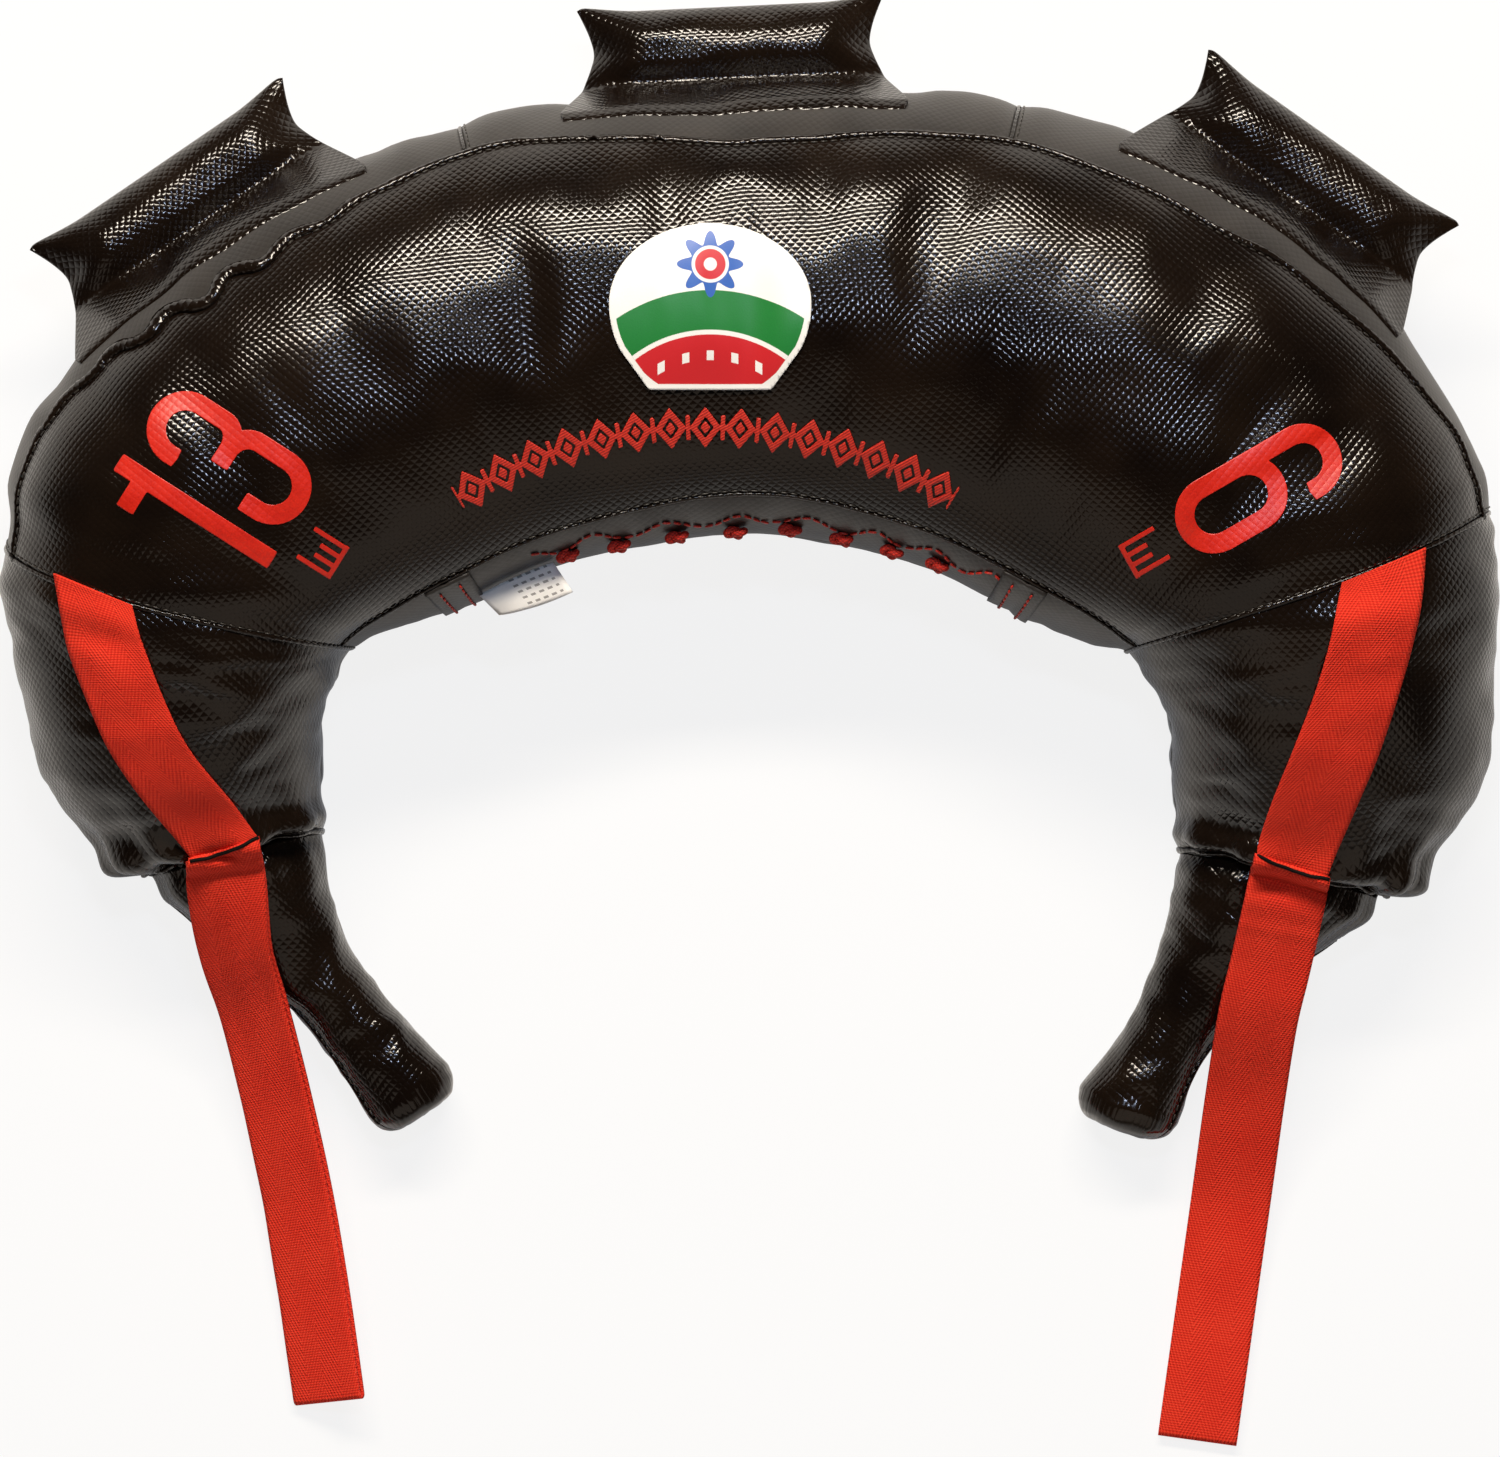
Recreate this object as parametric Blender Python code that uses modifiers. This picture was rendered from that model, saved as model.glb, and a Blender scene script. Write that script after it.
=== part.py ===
"""Bulgarian bag: a crescent of coated fabric filled with sand and wool, lying on its back.

X runs across the bag, Y from the open neck to the top handle, and Z up from the floor.
"""

import math

import bpy
from mathutils import Vector

# Driving sizes in metres
BAG_WIDTH = 0.56
FABRIC = 0.0012
SEAM_GAP = 0.0009
WRIST_GAP = 0.0004
CLEARANCE = 0.0007
BATTING = 0.006
WEB_WIDTH = 0.030
WEB_THICK = 0.0013
LOOP_GAP = 0.0012
ROLL_DIAMETER = 0.025
ROLL_LENGTH = 0.116
SKIRT_LENGTH = 0.130
SKIRT_HEIGHT = 0.0065
STITCH_DIAMETER = 0.0012
TOUCH_GAP = 0.0003
LACE_DIAMETER = 0.0022
LABEL_LENGTH = 0.030
LABEL_WIDTH = 0.014
LABEL_THICK = 0.0006
PATCH_WIDTH = 0.014
BADGE_WIDTH = 0.072
BADGE_THICK = 0.0006
TIP_ROUND = 0.012

# Angles and pure numbers
SQUARENESS = 0.85
CENTRE_SHARE = 0.47
STATIONS_PER_RIB = 3
SLOPE_SHARE = 1.4

# Ribs from the left horn tip over the top to the right horn tip, as shares of the width:
# outer edge x and y, inner edge x and y, thickness, outer seam and inner seam
RIB_SHARES = (
    (-0.259, -0.262, -0.204, -0.226, 0.064, 0.96, 0.96),
    (-0.301, -0.199, -0.249, -0.177, 0.068, 0.96, 0.96),
    (-0.346, -0.159, -0.276, -0.132, 0.080, 0.96, 0.96),
    (-0.408, -0.104, -0.287, -0.070, 0.108, 0.96, 0.96),
    (-0.468, -0.045, -0.287, -0.025, 0.160, 0.96, 0.96),
    (-0.488, 0.025, -0.284, 0.015, 0.198, 0.95, 0.96),
    (-0.498, 0.122, -0.266, 0.053, 0.220, 0.94, 0.96),
    (-0.472, 0.216, -0.234, 0.068, 0.230, 0.92, 0.92),
    (-0.364, 0.329, -0.187, 0.084, 0.234, 0.74, 0.88),
    (-0.194, 0.402, -0.113, 0.112, 0.236, 0.86, 0.86),
    (-0.001, 0.426, -0.001, 0.129, 0.238, 0.75, 0.83),
    (0.180, 0.416, 0.101, 0.112, 0.236, 0.82, 0.86),
    (0.357, 0.347, 0.181, 0.077, 0.234, 0.77, 0.88),
    (0.471, 0.216, 0.231, 0.059, 0.230, 0.90, 0.92),
    (0.498, 0.122, 0.258, 0.046, 0.220, 0.94, 0.96),
    (0.498, 0.025, 0.280, 0.009, 0.198, 0.95, 0.96),
    (0.488, -0.045, 0.283, -0.031, 0.160, 0.96, 0.96),
    (0.430, -0.118, 0.288, -0.083, 0.108, 0.96, 0.96),
    (0.355, -0.172, 0.280, -0.135, 0.080, 0.96, 0.96),
    (0.310, -0.221, 0.257, -0.195, 0.068, 0.96, 0.96),
    (0.291, -0.264, 0.223, -0.241, 0.064, 0.96, 0.96),
)
LAST = len(RIB_SHARES) - 1

# Ribs that carry a seam or a handle
LEFT_WRIST = 3
LEFT_CROSS = 6
LEFT_HANDLE = 8
CENTRE_HANDLE = 9.95
RIGHT_HANDLE = 12
RIGHT_CROSS = 14
RIGHT_WRIST = 17
LEFT_GUSSET_SEAM = 9
RIGHT_GUSSET_SEAM = 11
CLOSING_LEFT = 7.92
CLOSING_RIGHT = 11.90

# Centre line of each strap from the cross seam to the wrist, as shares of the width
LEFT_STRAP_SHARES = ((-0.438, 0.080), (-0.424, 0.043), (-0.407, 0.006), (-0.384, -0.035), (-0.3575, -0.083))
RIGHT_STRAP_SHARES = ((0.421, 0.080), (0.410, 0.043), (0.395, 0.006), (0.379, -0.040), (0.3635, -0.0955))

# Hanging loop below each wrist: x, y and height of its middle as shares of the width, and its tilt in degrees
LEFT_LOOP_SHARES = (
    (-0.3545, -0.094, 0.1100, -9),
    (-0.350, -0.118, 0.1000, -15),
    (-0.345, -0.150, 0.0800, -27),
    (-0.334, -0.190, 0.0550, -33),
    (-0.320, -0.249, 0.0360, -33),
    (-0.306, -0.316, 0.0240, -32),
    (-0.295, -0.383, 0.0190, -31),
    (-0.285, -0.453, 0.0182, -31),
)
RIGHT_LOOP_SHARES = (
    (0.3605, -0.107, 0.1096, 4),
    (0.356, -0.128, 0.1000, 4),
    (0.350, -0.158, 0.0870, 4),
    (0.342, -0.195, 0.0715, 4),
    (0.335, -0.249, 0.0400, 3),
    (0.327, -0.316, 0.0140, 1),
    (0.318, -0.383, 0.0060, 0),
    (0.3045, -0.480, 0.0050, 0),
)

# Badge middle as shares of the width, then the places of the label and of the lace knots
BADGE_MIDDLE_SHARES = (-0.026, 0.280)
LABEL_STATION = 8.47
FIRST_KNOT = 8.93
LAST_KNOT = 11.25
KNOTS = 8

BAG = "bulgarian bag"


def clear_scene():
    """Start from an empty scene."""
    for old in list(bpy.data.objects):
        bpy.data.objects.remove(old, do_unlink=True)


def collection_for(name):
    """A collection linked to the scene."""
    group = bpy.data.collections.new(name)
    bpy.context.scene.collection.children.link(group)
    return group


def material(name, colour, roughness, metallic=0.0):
    """A plain Principled material."""
    made = bpy.data.materials.new(name)
    made.use_nodes = True
    shader = made.node_tree.nodes["Principled BSDF"]
    shader.inputs["Base Color"].default_value = (*colour, 1.0)
    shader.inputs["Roughness"].default_value = roughness
    shader.inputs["Metallic"].default_value = metallic
    return made


def tarpaulin(name):
    """Black coated fabric."""
    return material(name, (0.012, 0.010, 0.010), 0.25)


def webbing(name):
    """Red woven webbing."""
    return material(name, (0.72, 0.030, 0.012), 0.85)


def filling(name, colour):
    """Soft filling that no one sees."""
    return material(name, colour, 0.95)


def spline(rows, s):
    """Smooth curve through evenly numbered rows, at row number s."""
    last = len(rows) - 1
    s = min(max(s, 0.0), float(last))
    i = min(int(s), last - 1)
    f = s - i
    before, here, after, beyond = (rows[min(max(i + k, 0), last)] for k in (-1, 0, 1, 2))
    values = []
    for a, b, c, d in zip(before, here, after, beyond):
        values.append(
            0.5 * (2 * b + (c - a) * f + (2 * a - 5 * b + 4 * c - d) * f**2 + (3 * b - a - 3 * c + d) * f**3)
        )
    return values


def rib(s):
    """Outer point, inner point, thickness and the two seam shares of the section at s."""
    ox, oy, ix, iy, thick, outer_seam, inner_seam = spline(RIB_SHARES, s)
    outer = Vector((ox, oy)) * BAG_WIDTH
    inner = Vector((ix, iy)) * BAG_WIDTH
    return outer, inner, thick * BAG_WIDTH, outer_seam, inner_seam


def seam_angle(share):
    """Angle round the section where it has this share of its half width."""
    return math.acos(min(share, 0.999) ** (1 / SQUARENESS))


def angles(s):
    """Twenty angles round the section: outer side, front, inner side, back."""
    _, _, _, outer_seam, inner_seam = rib(s)
    a = seam_angle(outer_seam)
    b = math.pi - seam_angle(inner_seam)
    front = [a + (b - a) * k / 6 for k in range(7)]
    inside = [b + (math.pi - b) * k / 2 for k in range(1, 3)]
    upper = [0.0, a / 2] + front + inside
    return upper + [2 * math.pi - t for t in reversed(upper[1:-1])]


# Corners of the section, counted in the list of angles
OUTER_MID_INDEX = 0
FRONT_OUTER_INDEX = 2
FRONT_INNER_INDEX = 8
INNER_MID_INDEX = 10
BACK_INNER_INDEX = 12
BACK_OUTER_INDEX = 18
CORNER_COUNT = 20

# The two halves of a section that a seam along the edges joins: name, first corner and last corner
HALVES = (("front", OUTER_MID_INDEX, INNER_MID_INDEX), ("back", INNER_MID_INDEX, CORNER_COUNT))


def signed_power(value):
    """Power that squares up the section a little."""
    return math.copysign(abs(value) ** SQUARENESS, value)


def section(s, angle, inset):
    """Point on the section at s, this far inside the cloth; past the last ribs it closes the tip."""
    past = max(-s, s - LAST, 0.0)
    outer, inner, thick, _, _ = rib(s)
    middle = (outer + inner) / 2
    half = (outer - inner).length / 2
    across = (outer - inner).normalized()
    centre = thick * CENTRE_SHARE
    level = max(centre + signed_power(math.sin(angle)) * (thick - centre - inset), inset)
    reach = signed_power(math.cos(angle)) * (half - inset)
    if past > 0:
        turn = past * math.pi / 2
        shrink = max(math.cos(turn), 0.0) ** 0.7
        reach *= shrink
        level = centre + (level - centre) * shrink
        onward = Vector((across.y, -across.x)) * (1 if s > LAST else -1)
        middle = middle + onward * math.sin(turn) * (TIP_ROUND - inset)
    flat = middle + across * reach
    return Vector((flat.x, flat.y, level))


def ring(s, inset):
    """All corners of the section at s."""
    return [section(s, t, inset) for t in angles(s)]


def stations(start, end):
    """Section numbers from start to end, on one spacing that every layer shares."""
    first = math.floor(start * STATIONS_PER_RIB) - 1
    last = math.ceil(end * STATIONS_PER_RIB) + 1
    shared = [k / STATIONS_PER_RIB for k in range(first, last + 1)]
    margin = 0.2 / STATIONS_PER_RIB
    return [start] + [s for s in shared if start + margin < s < end - margin] + [end]


def toward(point, other, distance):
    """Move a point toward another."""
    step = other - point
    if step.length < distance:
        return point.copy()
    return point + step.normalized() * distance


def set_back(grid, rows=0.0, columns=0.0):
    """Draw the edge rows and the edge columns of a grid inward, for the gap at a seam."""
    if rows:
        grid[0] = [toward(p, q, rows) for p, q in zip(grid[0], grid[1])]
        grid[-1] = [toward(p, q, rows) for p, q in zip(grid[-1], grid[-2])]
    if columns:
        for line in grid:
            line[0], line[-1] = toward(line[0], line[1], columns), toward(line[-1], line[-2], columns)
    return grid


def add_mesh(name, points, faces, look, group):
    """Mesh object with its own material, doubled corners joined."""
    mesh = bpy.data.meshes.new(name)
    mesh.from_pydata([tuple(p) for p in points], [], faces)
    mesh.validate()
    made = bpy.data.objects.new(name, mesh)
    mesh.materials.append(look)
    group.objects.link(made)
    return made


def sheet(name, grid, wall, look, group):
    """Open surface through a grid of rows, thickened away from its outward side."""
    numbered = {}
    points = []
    index = []
    for line in grid:
        row = []
        for p in line:
            key = tuple(round(v / SEAM_GAP, 4) for v in p)
            if key not in numbered:
                numbered[key] = len(points)
                points.append(p)
            row.append(numbered[key])
        index.append(row)
    faces = []
    for near, far in zip(index, index[1:]):
        for k in range(len(near) - 1):
            corners = [near[k], near[k + 1], far[k + 1], far[k]]
            kept = [c for n, c in enumerate(corners) if c != corners[n - 1]]
            if len(kept) > 2:
                faces.append(kept)
    made = add_mesh(name, points, faces, look, group)
    thicken(made, wall)
    return made


def thicken(made, wall):
    """Solidify inward for a positive wall, outward for a negative one."""
    modifier = made.modifiers.new("cloth", "SOLIDIFY")
    modifier.thickness = abs(wall)
    modifier.offset = -1.0 if wall > 0 else 1.0
    modifier.use_even_offset = True
    modifier.use_rim = True


def tube(name, rings, look, group):
    """Closed solid through rings, flat at both ends."""
    size = len(rings[0])
    points = [p for line in rings for p in line]
    faces = []
    for i in range(len(rings) - 1):
        for k in range(size):
            n = (k + 1) % size
            faces.append((i * size + k, i * size + n, (i + 1) * size + n, (i + 1) * size + k))
    faces.append(tuple(reversed(range(size))))
    faces.append(tuple((len(rings) - 1) * size + k for k in range(size)))
    return add_mesh(name, points, faces, look, group)


def columns(s, first, last, inset):
    """Corners first to last of the section at s, going on past the end of the list if asked."""
    whole = ring(s, inset)
    return [whole[k % CORNER_COUNT] for k in range(first, last + 1)]


def panel(name, start, end, first, last, look, group, wall=FABRIC, inset=0.0, gap=SEAM_GAP, every=1):
    """Layer between two stations and two corners of the section, on every corner or on each second one."""
    grid = [columns(s, first, last, inset)[::every] for s in stations(start, end)]
    return sheet(name, set_back(grid, gap / 2, gap / 2), wall, look, group)


def skin(group):
    """Front, back, outer and inner panels of the crescent."""
    faces = (
        ("front_panel", FRONT_OUTER_INDEX, FRONT_INNER_INDEX),
        ("back_panel", BACK_INNER_INDEX, BACK_OUTER_INDEX),
    )
    for name, first, last in faces:
        panel(name, LEFT_CROSS, RIGHT_CROSS, first, last, tarpaulin(name + " tarpaulin"), group)
    edges = (LEFT_CROSS, LEFT_GUSSET_SEAM, RIGHT_GUSSET_SEAM, RIGHT_CROSS)
    names = ("outer_gusset_left", "outer_gusset_centre", "outer_gusset_right")
    for name, start, end in zip(names, edges, edges[1:]):
        last = CORNER_COUNT + FRONT_OUTER_INDEX
        panel(name, start, end, BACK_OUTER_INDEX, last, tarpaulin(name + " tarpaulin"), group)
    sides = (
        ("inner_gusset_left", LEFT_CROSS, CLOSING_LEFT),
        ("inner_gusset_right", CLOSING_RIGHT, RIGHT_CROSS),
    )
    for name, start, end in sides:
        cloth = tarpaulin(name + " tarpaulin")
        panel(name, start, end, FRONT_INNER_INDEX, BACK_INNER_INDEX, cloth, group)
    flaps = (
        ("closing_flap_front", FRONT_INNER_INDEX, INNER_MID_INDEX),
        ("closing_flap_back", INNER_MID_INDEX, BACK_INNER_INDEX),
    )
    for name, first, last in flaps:
        panel(name, CLOSING_LEFT, CLOSING_RIGHT, first, last, tarpaulin(name + " tarpaulin"), group)


def ends(group):
    """Front and back panels of the two pouches between the cross seam and the wrist."""
    for side, start, end in (("left", LEFT_WRIST, LEFT_CROSS), ("right", RIGHT_CROSS, RIGHT_WRIST)):
        for face, first, last in HALVES:
            name = side + "_end_" + face
            panel(name, start, end, first, last, tarpaulin(name + " tarpaulin"), group, gap=SEAM_GAP)


def fillings(group):
    """Two layers of wool batting round a long tube of sand, from wrist to wrist."""
    under_cloth = FABRIC + CLEARANCE
    margin = 0.12
    start, end = LEFT_WRIST + margin, RIGHT_WRIST - margin
    for face, first, last in HALVES:
        panel(
            "wool_batting_" + face, start, end, first, last,
            filling("wool " + face, (0.62, 0.56, 0.46)), group,
            wall=BATTING, inset=under_cloth, gap=BATTING, every=2,
        )
    under_wool = under_cloth + BATTING * SLOPE_SHARE + CLEARANCE * 3
    rings = [ring(s, under_wool)[::2] for s in stations(start + margin, end - margin)]
    tube("sand_tube", rings, filling("sand in liner", (0.55, 0.42, 0.25)), group)


def horn_rows(side):
    """Section numbers of a horn in rising order, with the rounded tip."""
    tip = (0.35, 0.65, 0.86, 1.0)
    if side == "left":
        return [-t for t in reversed(tip)] + stations(0, LEFT_WRIST)
    return stations(RIGHT_WRIST, LAST) + [LAST + t for t in tip]


def wrist_first(rows, side):
    """Rows counted from the wrist."""
    return rows if side == "right" else list(reversed(rows))


def horns(group):
    """The two horns beyond the wrists: a front and a back half round a stuffing."""
    for side in ("left", "right"):
        rows = horn_rows(side)
        for face, first, last in HALVES:
            lift = 1 if face == "front" else -1
            grid = [columns(s, first, last, 0.0) for s in rows]
            pole = 0 if side == "left" else -1
            foot = -1 if side == "left" else 0
            beside = -2 if side == "left" else 1
            grid[foot] = [toward(p, q, WRIST_GAP) for p, q in zip(grid[foot], grid[beside])]
            for line in grid:
                line[0] = toward(line[0], line[1], SEAM_GAP / 2)
                line[-1] = toward(line[-1], line[-2], SEAM_GAP / 2)
            grid[pole] = [p + Vector((0, 0, lift * SEAM_GAP)) for p in grid[pole]]
            name = side + "_horn_" + face
            sheet(name, grid, FABRIC, tarpaulin(name + " tarpaulin"), group)
        stuffing(side, group)


def stuffing(side, group):
    """Wool stuffing of one horn."""
    inset = FABRIC + CLEARANCE
    if side == "left":
        rows = [-0.62, -0.3] + stations(0, LEFT_WRIST - 0.3)
    else:
        rows = stations(RIGHT_WRIST + 0.3, LAST) + [LAST + 0.3, LAST + 0.62]
    rings = [ring(s, inset) for s in rows]
    tube(side + "_horn_stuffing", rings, filling(side + " horn wool", (0.62, 0.56, 0.46)), group)


def front_height(x, y):
    """Height of the front of the bag over a point on the floor."""
    best = None
    for k in range(LAST * 8 + 1):
        s = k / 8
        outer, inner, _, _, _ = rib(s)
        across = outer - inner
        along = (Vector((x, y)) - inner).dot(across) / across.length_squared
        if 0.0 <= along <= 1.0:
            miss = (inner + across * along - Vector((x, y))).length
            if best is None or miss < best[0]:
                best = (miss, s)
    if best is None:
        return 0.0
    low, high = max(best[1] - 0.125, 0.0), min(best[1] + 0.125, float(LAST))
    for _ in range(30):
        s = (low + high) / 2
        outer, inner, _, _, _ = rib(s)
        across = outer - inner
        side = across.x * (y - inner.y) - across.y * (x - inner.x)
        if side < 0:
            low = s
        else:
            high = s
    outer, inner, thick, _, _ = rib(s)
    across = outer - inner
    along = (Vector((x, y)) - inner).dot(across) / across.length_squared
    share = min(abs(2 * along - 1), 1.0)
    rise = (1 - share ** (2 / SQUARENESS)) ** (SQUARENESS / 2)
    centre = thick * CENTRE_SHARE
    return centre + (thick - centre) * rise


def side_step(path, k):
    """Unit vector to the right of a path in the floor plane, at point k."""
    ahead = Vector(path[min(k + 1, len(path) - 1)][:2]) - Vector(path[max(k - 1, 0)][:2])
    ahead.normalize()
    return Vector((ahead.y, -ahead.x))


def straps(group):
    """The sewn down run of each strap, from the cross seam to the wrist."""
    for side, shares in (("left", LEFT_STRAP_SHARES), ("right", RIGHT_STRAP_SHARES)):
        path = [(x * BAG_WIDTH, y * BAG_WIDTH) for x, y in shares]
        path = [tuple(spline(path, k / 2)) for k in range(2 * len(path) - 1)]
        grid = []
        for k, (x, y) in enumerate(path):
            step = side_step(path, k)
            line = []
            for across in (-1.0, -0.5, 0.0, 0.5, 1.0):
                px = x + step.x * across * WEB_WIDTH / 2
                py = y + step.y * across * WEB_WIDTH / 2
                line.append(Vector((px, py, front_height(px, py) + CLEARANCE * 2)))
            grid.append(line)
        name = side + "_strap"
        sheet(name, grid, -WEB_THICK, webbing(name + " webbing"), group)


def loops(group):
    """The hanging loop of each strap: webbing down, round and back up."""
    for side, shares in (("left", LEFT_LOOP_SHARES), ("right", RIGHT_LOOP_SHARES)):
        count = len(shares)
        path = [spline(shares, k / 2) for k in range(2 * count - 1)]
        path = [(x * BAG_WIDTH, y * BAG_WIDTH, z * BAG_WIDTH, tilt) for x, y, z, tilt in path]
        lower, upper = [], []
        for k, (x, y, z, tilt) in enumerate(path):
            step = side_step(path, k)
            lean = math.radians(tilt)
            across = Vector((step.x * math.cos(lean), step.y * math.cos(lean), math.sin(lean)))
            ahead = Vector(path[min(k + 1, len(path) - 1)][:3]) - Vector(path[max(k - 1, 0)][:3])
            up = across.cross(ahead).normalized()
            if up.z < 0:
                up = -up
            spot = Vector((x, y, z))
            ends_of_row = [spot - across * WEB_WIDTH / 2, spot + across * WEB_WIDTH / 2]
            lower.append([p - up * LOOP_GAP / 2 for p in ends_of_row])
            upper.append([p + up * LOOP_GAP / 2 for p in ends_of_row])
        last_ahead = (Vector(path[-1][:3]) - Vector(path[-2][:3])).normalized()
        bend = [[p + last_ahead * LOOP_GAP / 2 for p in line] for line in (lower[-1], upper[-1])]
        grid = lower + bend + list(reversed(upper))
        name = side + "_loop"
        made = sheet(name, grid, WEB_THICK, webbing(name + " webbing"), group)
        made.modifiers["cloth"].offset = -1.0


def handle_frame(station):
    """Foot point on the outer edge, unit vectors along the handle and outward, and height of the middle."""
    outer, inner, thick, _, _ = rib(station)
    along = (rib(station + 0.5)[0] - rib(station - 0.5)[0]).normalized()
    outward = Vector((-along.y, along.x))
    return outer, along, outward, thick * CENTRE_SHARE


def handle_axis(station):
    """Middle of the stitch line under the roll, which is where the handle tilts."""
    foot, along, outward, level = handle_frame(station)
    spot = foot + outward * SKIRT_HEIGHT
    return Vector((spot.x, spot.y, level)), Vector((along.x, along.y, 0)), Vector((outward.x, outward.y, 0))


def station_at(origin, along, distance, start):
    """Section whose outer edge lies this far along a handle."""
    low, high = start - 2.0, start + 2.0
    for _ in range(40):
        middle = (low + high) / 2
        if (rib(middle)[0] - origin).dot(along) < distance:
            low = middle
        else:
            high = middle
    return (low + high) / 2


def skirt(name, station, face, group):
    """Flap of a handle from the stitch line under the roll down over the outer gusset."""
    foot, along, outward, level = handle_frame(station)
    upright = 1 if face == "front" else -1
    grid = []
    count = 8
    apex_share = 0.85
    for k in range(count + 1):
        distance = (k / count - 0.5) * SKIRT_LENGTH
        s = station_at(foot, along, distance, station)
        edge = seam_angle(rib(s)[3])
        reach = SKIRT_HEIGHT - STITCH_DIAMETER / 2 - TOUCH_GAP
        apex = foot + along * distance * apex_share + outward * reach
        line = [Vector((apex.x, apex.y, level + upright * TOUCH_GAP))]
        for part in (0.16, 0.34, 0.56, 0.80):
            line.append(section(s, upright * edge * part, -CLEARANCE))
        grid.append(line)
    wall = -FABRIC
    if face == "back":
        grid.reverse()
    return sheet(name, grid, wall, tarpaulin(name + " tarpaulin"), group)


def roll(name, station, group):
    """Flat ended sleeve of a handle round its foam core."""
    axis, along, outward = handle_axis(station)
    middle = axis + outward * (ROLL_DIAMETER / 2 + STITCH_DIAMETER / 2 + TOUCH_GAP)
    up = Vector((0, 0, 1))
    grid = []
    places = (0.0, 0.04, 0.10, 0.20, 0.5, 0.80, 0.90, 0.96, 1.0)
    thick_shares = (0.17, 0.42, 0.70, 0.95, 1.0, 0.95, 0.70, 0.42, 0.17)
    tall_shares = (1.16, 1.11, 1.05, 1.0, 1.0, 1.0, 1.05, 1.11, 1.16)
    sides = 12
    for place, thick, tall in zip(places, thick_shares, tall_shares):
        spot = middle + along * (place - 0.5) * ROLL_LENGTH + outward * ROLL_DIAMETER * (tall - 1) / 2
        line = []
        for k in range(sides + 1):
            turn = 2 * math.pi * (k % sides) / sides
            out = signed_power(math.cos(turn)) * ROLL_DIAMETER / 2 * tall
            rise = signed_power(math.sin(turn)) * ROLL_DIAMETER / 2 * thick
            line.append(spot + outward * out + up * rise)
        grid.append(line)
    sleeve = sheet(name + "_sleeve", grid, FABRIC, tarpaulin(name + " sleeve tarpaulin"), group)
    rings = []
    core_radius = ROLL_DIAMETER / 2 - FABRIC - CLEARANCE * 2
    for place, share in ((-0.32, 0.7), (-0.28, 1.0), (0.28, 1.0), (0.32, 0.7)):
        spot = middle + along * place * ROLL_LENGTH
        line = []
        for k in range(sides):
            turn = 2 * math.pi * k / sides
            line.append(spot + (outward * math.cos(turn) + up * math.sin(turn)) * core_radius * share)
        rings.append(line)
    core = tube(name + "_core", rings, filling(name + " foam", (0.16, 0.16, 0.17)), group)
    return sleeve, core


def stitching(name, station, group):
    """Line of stitches that closes the sleeve under the roll, on the axis that the handle tilts about."""
    axis, along, outward = handle_axis(station)
    sides = 8
    rings = []
    for end in (-0.42, -0.2, 0.0, 0.2, 0.42):
        line = []
        for k in range(sides):
            turn = 2 * math.pi * k / sides
            spoke = outward * math.cos(turn) + Vector((0, 0, math.sin(turn)))
            line.append(axis + along * end * ROLL_LENGTH + spoke * STITCH_DIAMETER / 2)
        rings.append(line)
    tube(name + "_stitching", rings, material(name + " thread", (0.02, 0.02, 0.02), 0.7), group)


def handles(group):
    """Three handles on the outer gusset."""
    for name, station in (
        ("left_handle", LEFT_HANDLE), ("centre_handle", CENTRE_HANDLE), ("right_handle", RIGHT_HANDLE)
    ):
        skirt(name + "_skirt_front", station, "front", group)
        skirt(name + "_skirt_back", station, "back", group)
        roll(name, station, group)
        stitching(name, station, group)


def closing(group):
    """Patches at both ends of the filling slit, and the red lace that closes it."""
    for side, station in (("left", CLOSING_LEFT), ("right", CLOSING_RIGHT)):
        _, inner, _, _, _ = rib(station)
        pace = (rib(station + 0.1)[1] - rib(station - 0.1)[1]).length / 0.2
        half = PATCH_WIDTH / 2 / pace
        places = [station + half * d for d in (-1, 0, 1)]
        grid = [columns(s, FRONT_INNER_INDEX, BACK_INNER_INDEX, -CLEARANCE) for s in places]
        set_back(grid, 0.0, SEAM_GAP)
        name = "closing_patch_" + side
        sheet(name, grid, -FABRIC, tarpaulin(name + " tarpaulin"), group)
    thread(group)


def thread(group):
    """Lace across the slit, thick at its knots."""
    knot_swell = 1.7
    knot_off = LACE_DIAMETER / 2 * knot_swell + TOUCH_GAP
    run_off = LACE_DIAMETER / 2 + TOUCH_GAP
    curve = bpy.data.curves.new("closing_lace", "CURVE")
    curve.dimensions = "3D"
    curve.bevel_depth = LACE_DIAMETER / 2
    curve.bevel_resolution = 1
    curve.render_resolution_u = 0
    curve.resolution_u = 1
    curve.use_fill_caps = True
    run = curve.splines.new("POLY")
    spots = []
    pace = (LAST_KNOT - FIRST_KNOT) / (KNOTS - 1)
    for n in range(KNOTS):
        s = FIRST_KNOT + pace * n
        spots.append((section(s, math.pi * 0.957, -knot_off), knot_swell))
        if n < KNOTS - 1:
            spots.append((section(s + pace * 0.3, math.pi, -run_off), 1.0))
            spots.append((section(s + pace * 0.5, math.pi * 1.035, -run_off), 1.0))
            spots.append((section(s + pace * 0.7, math.pi, -run_off), 1.0))
    run.points.add(len(spots) - 1)
    for point, (spot, swell) in zip(run.points, spots):
        point.co = (*spot, 1.0)
        point.radius = swell
    made = bpy.data.objects.new("closing_lace", curve)
    curve.materials.append(webbing("red lace"))
    group.objects.link(made)


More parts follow.
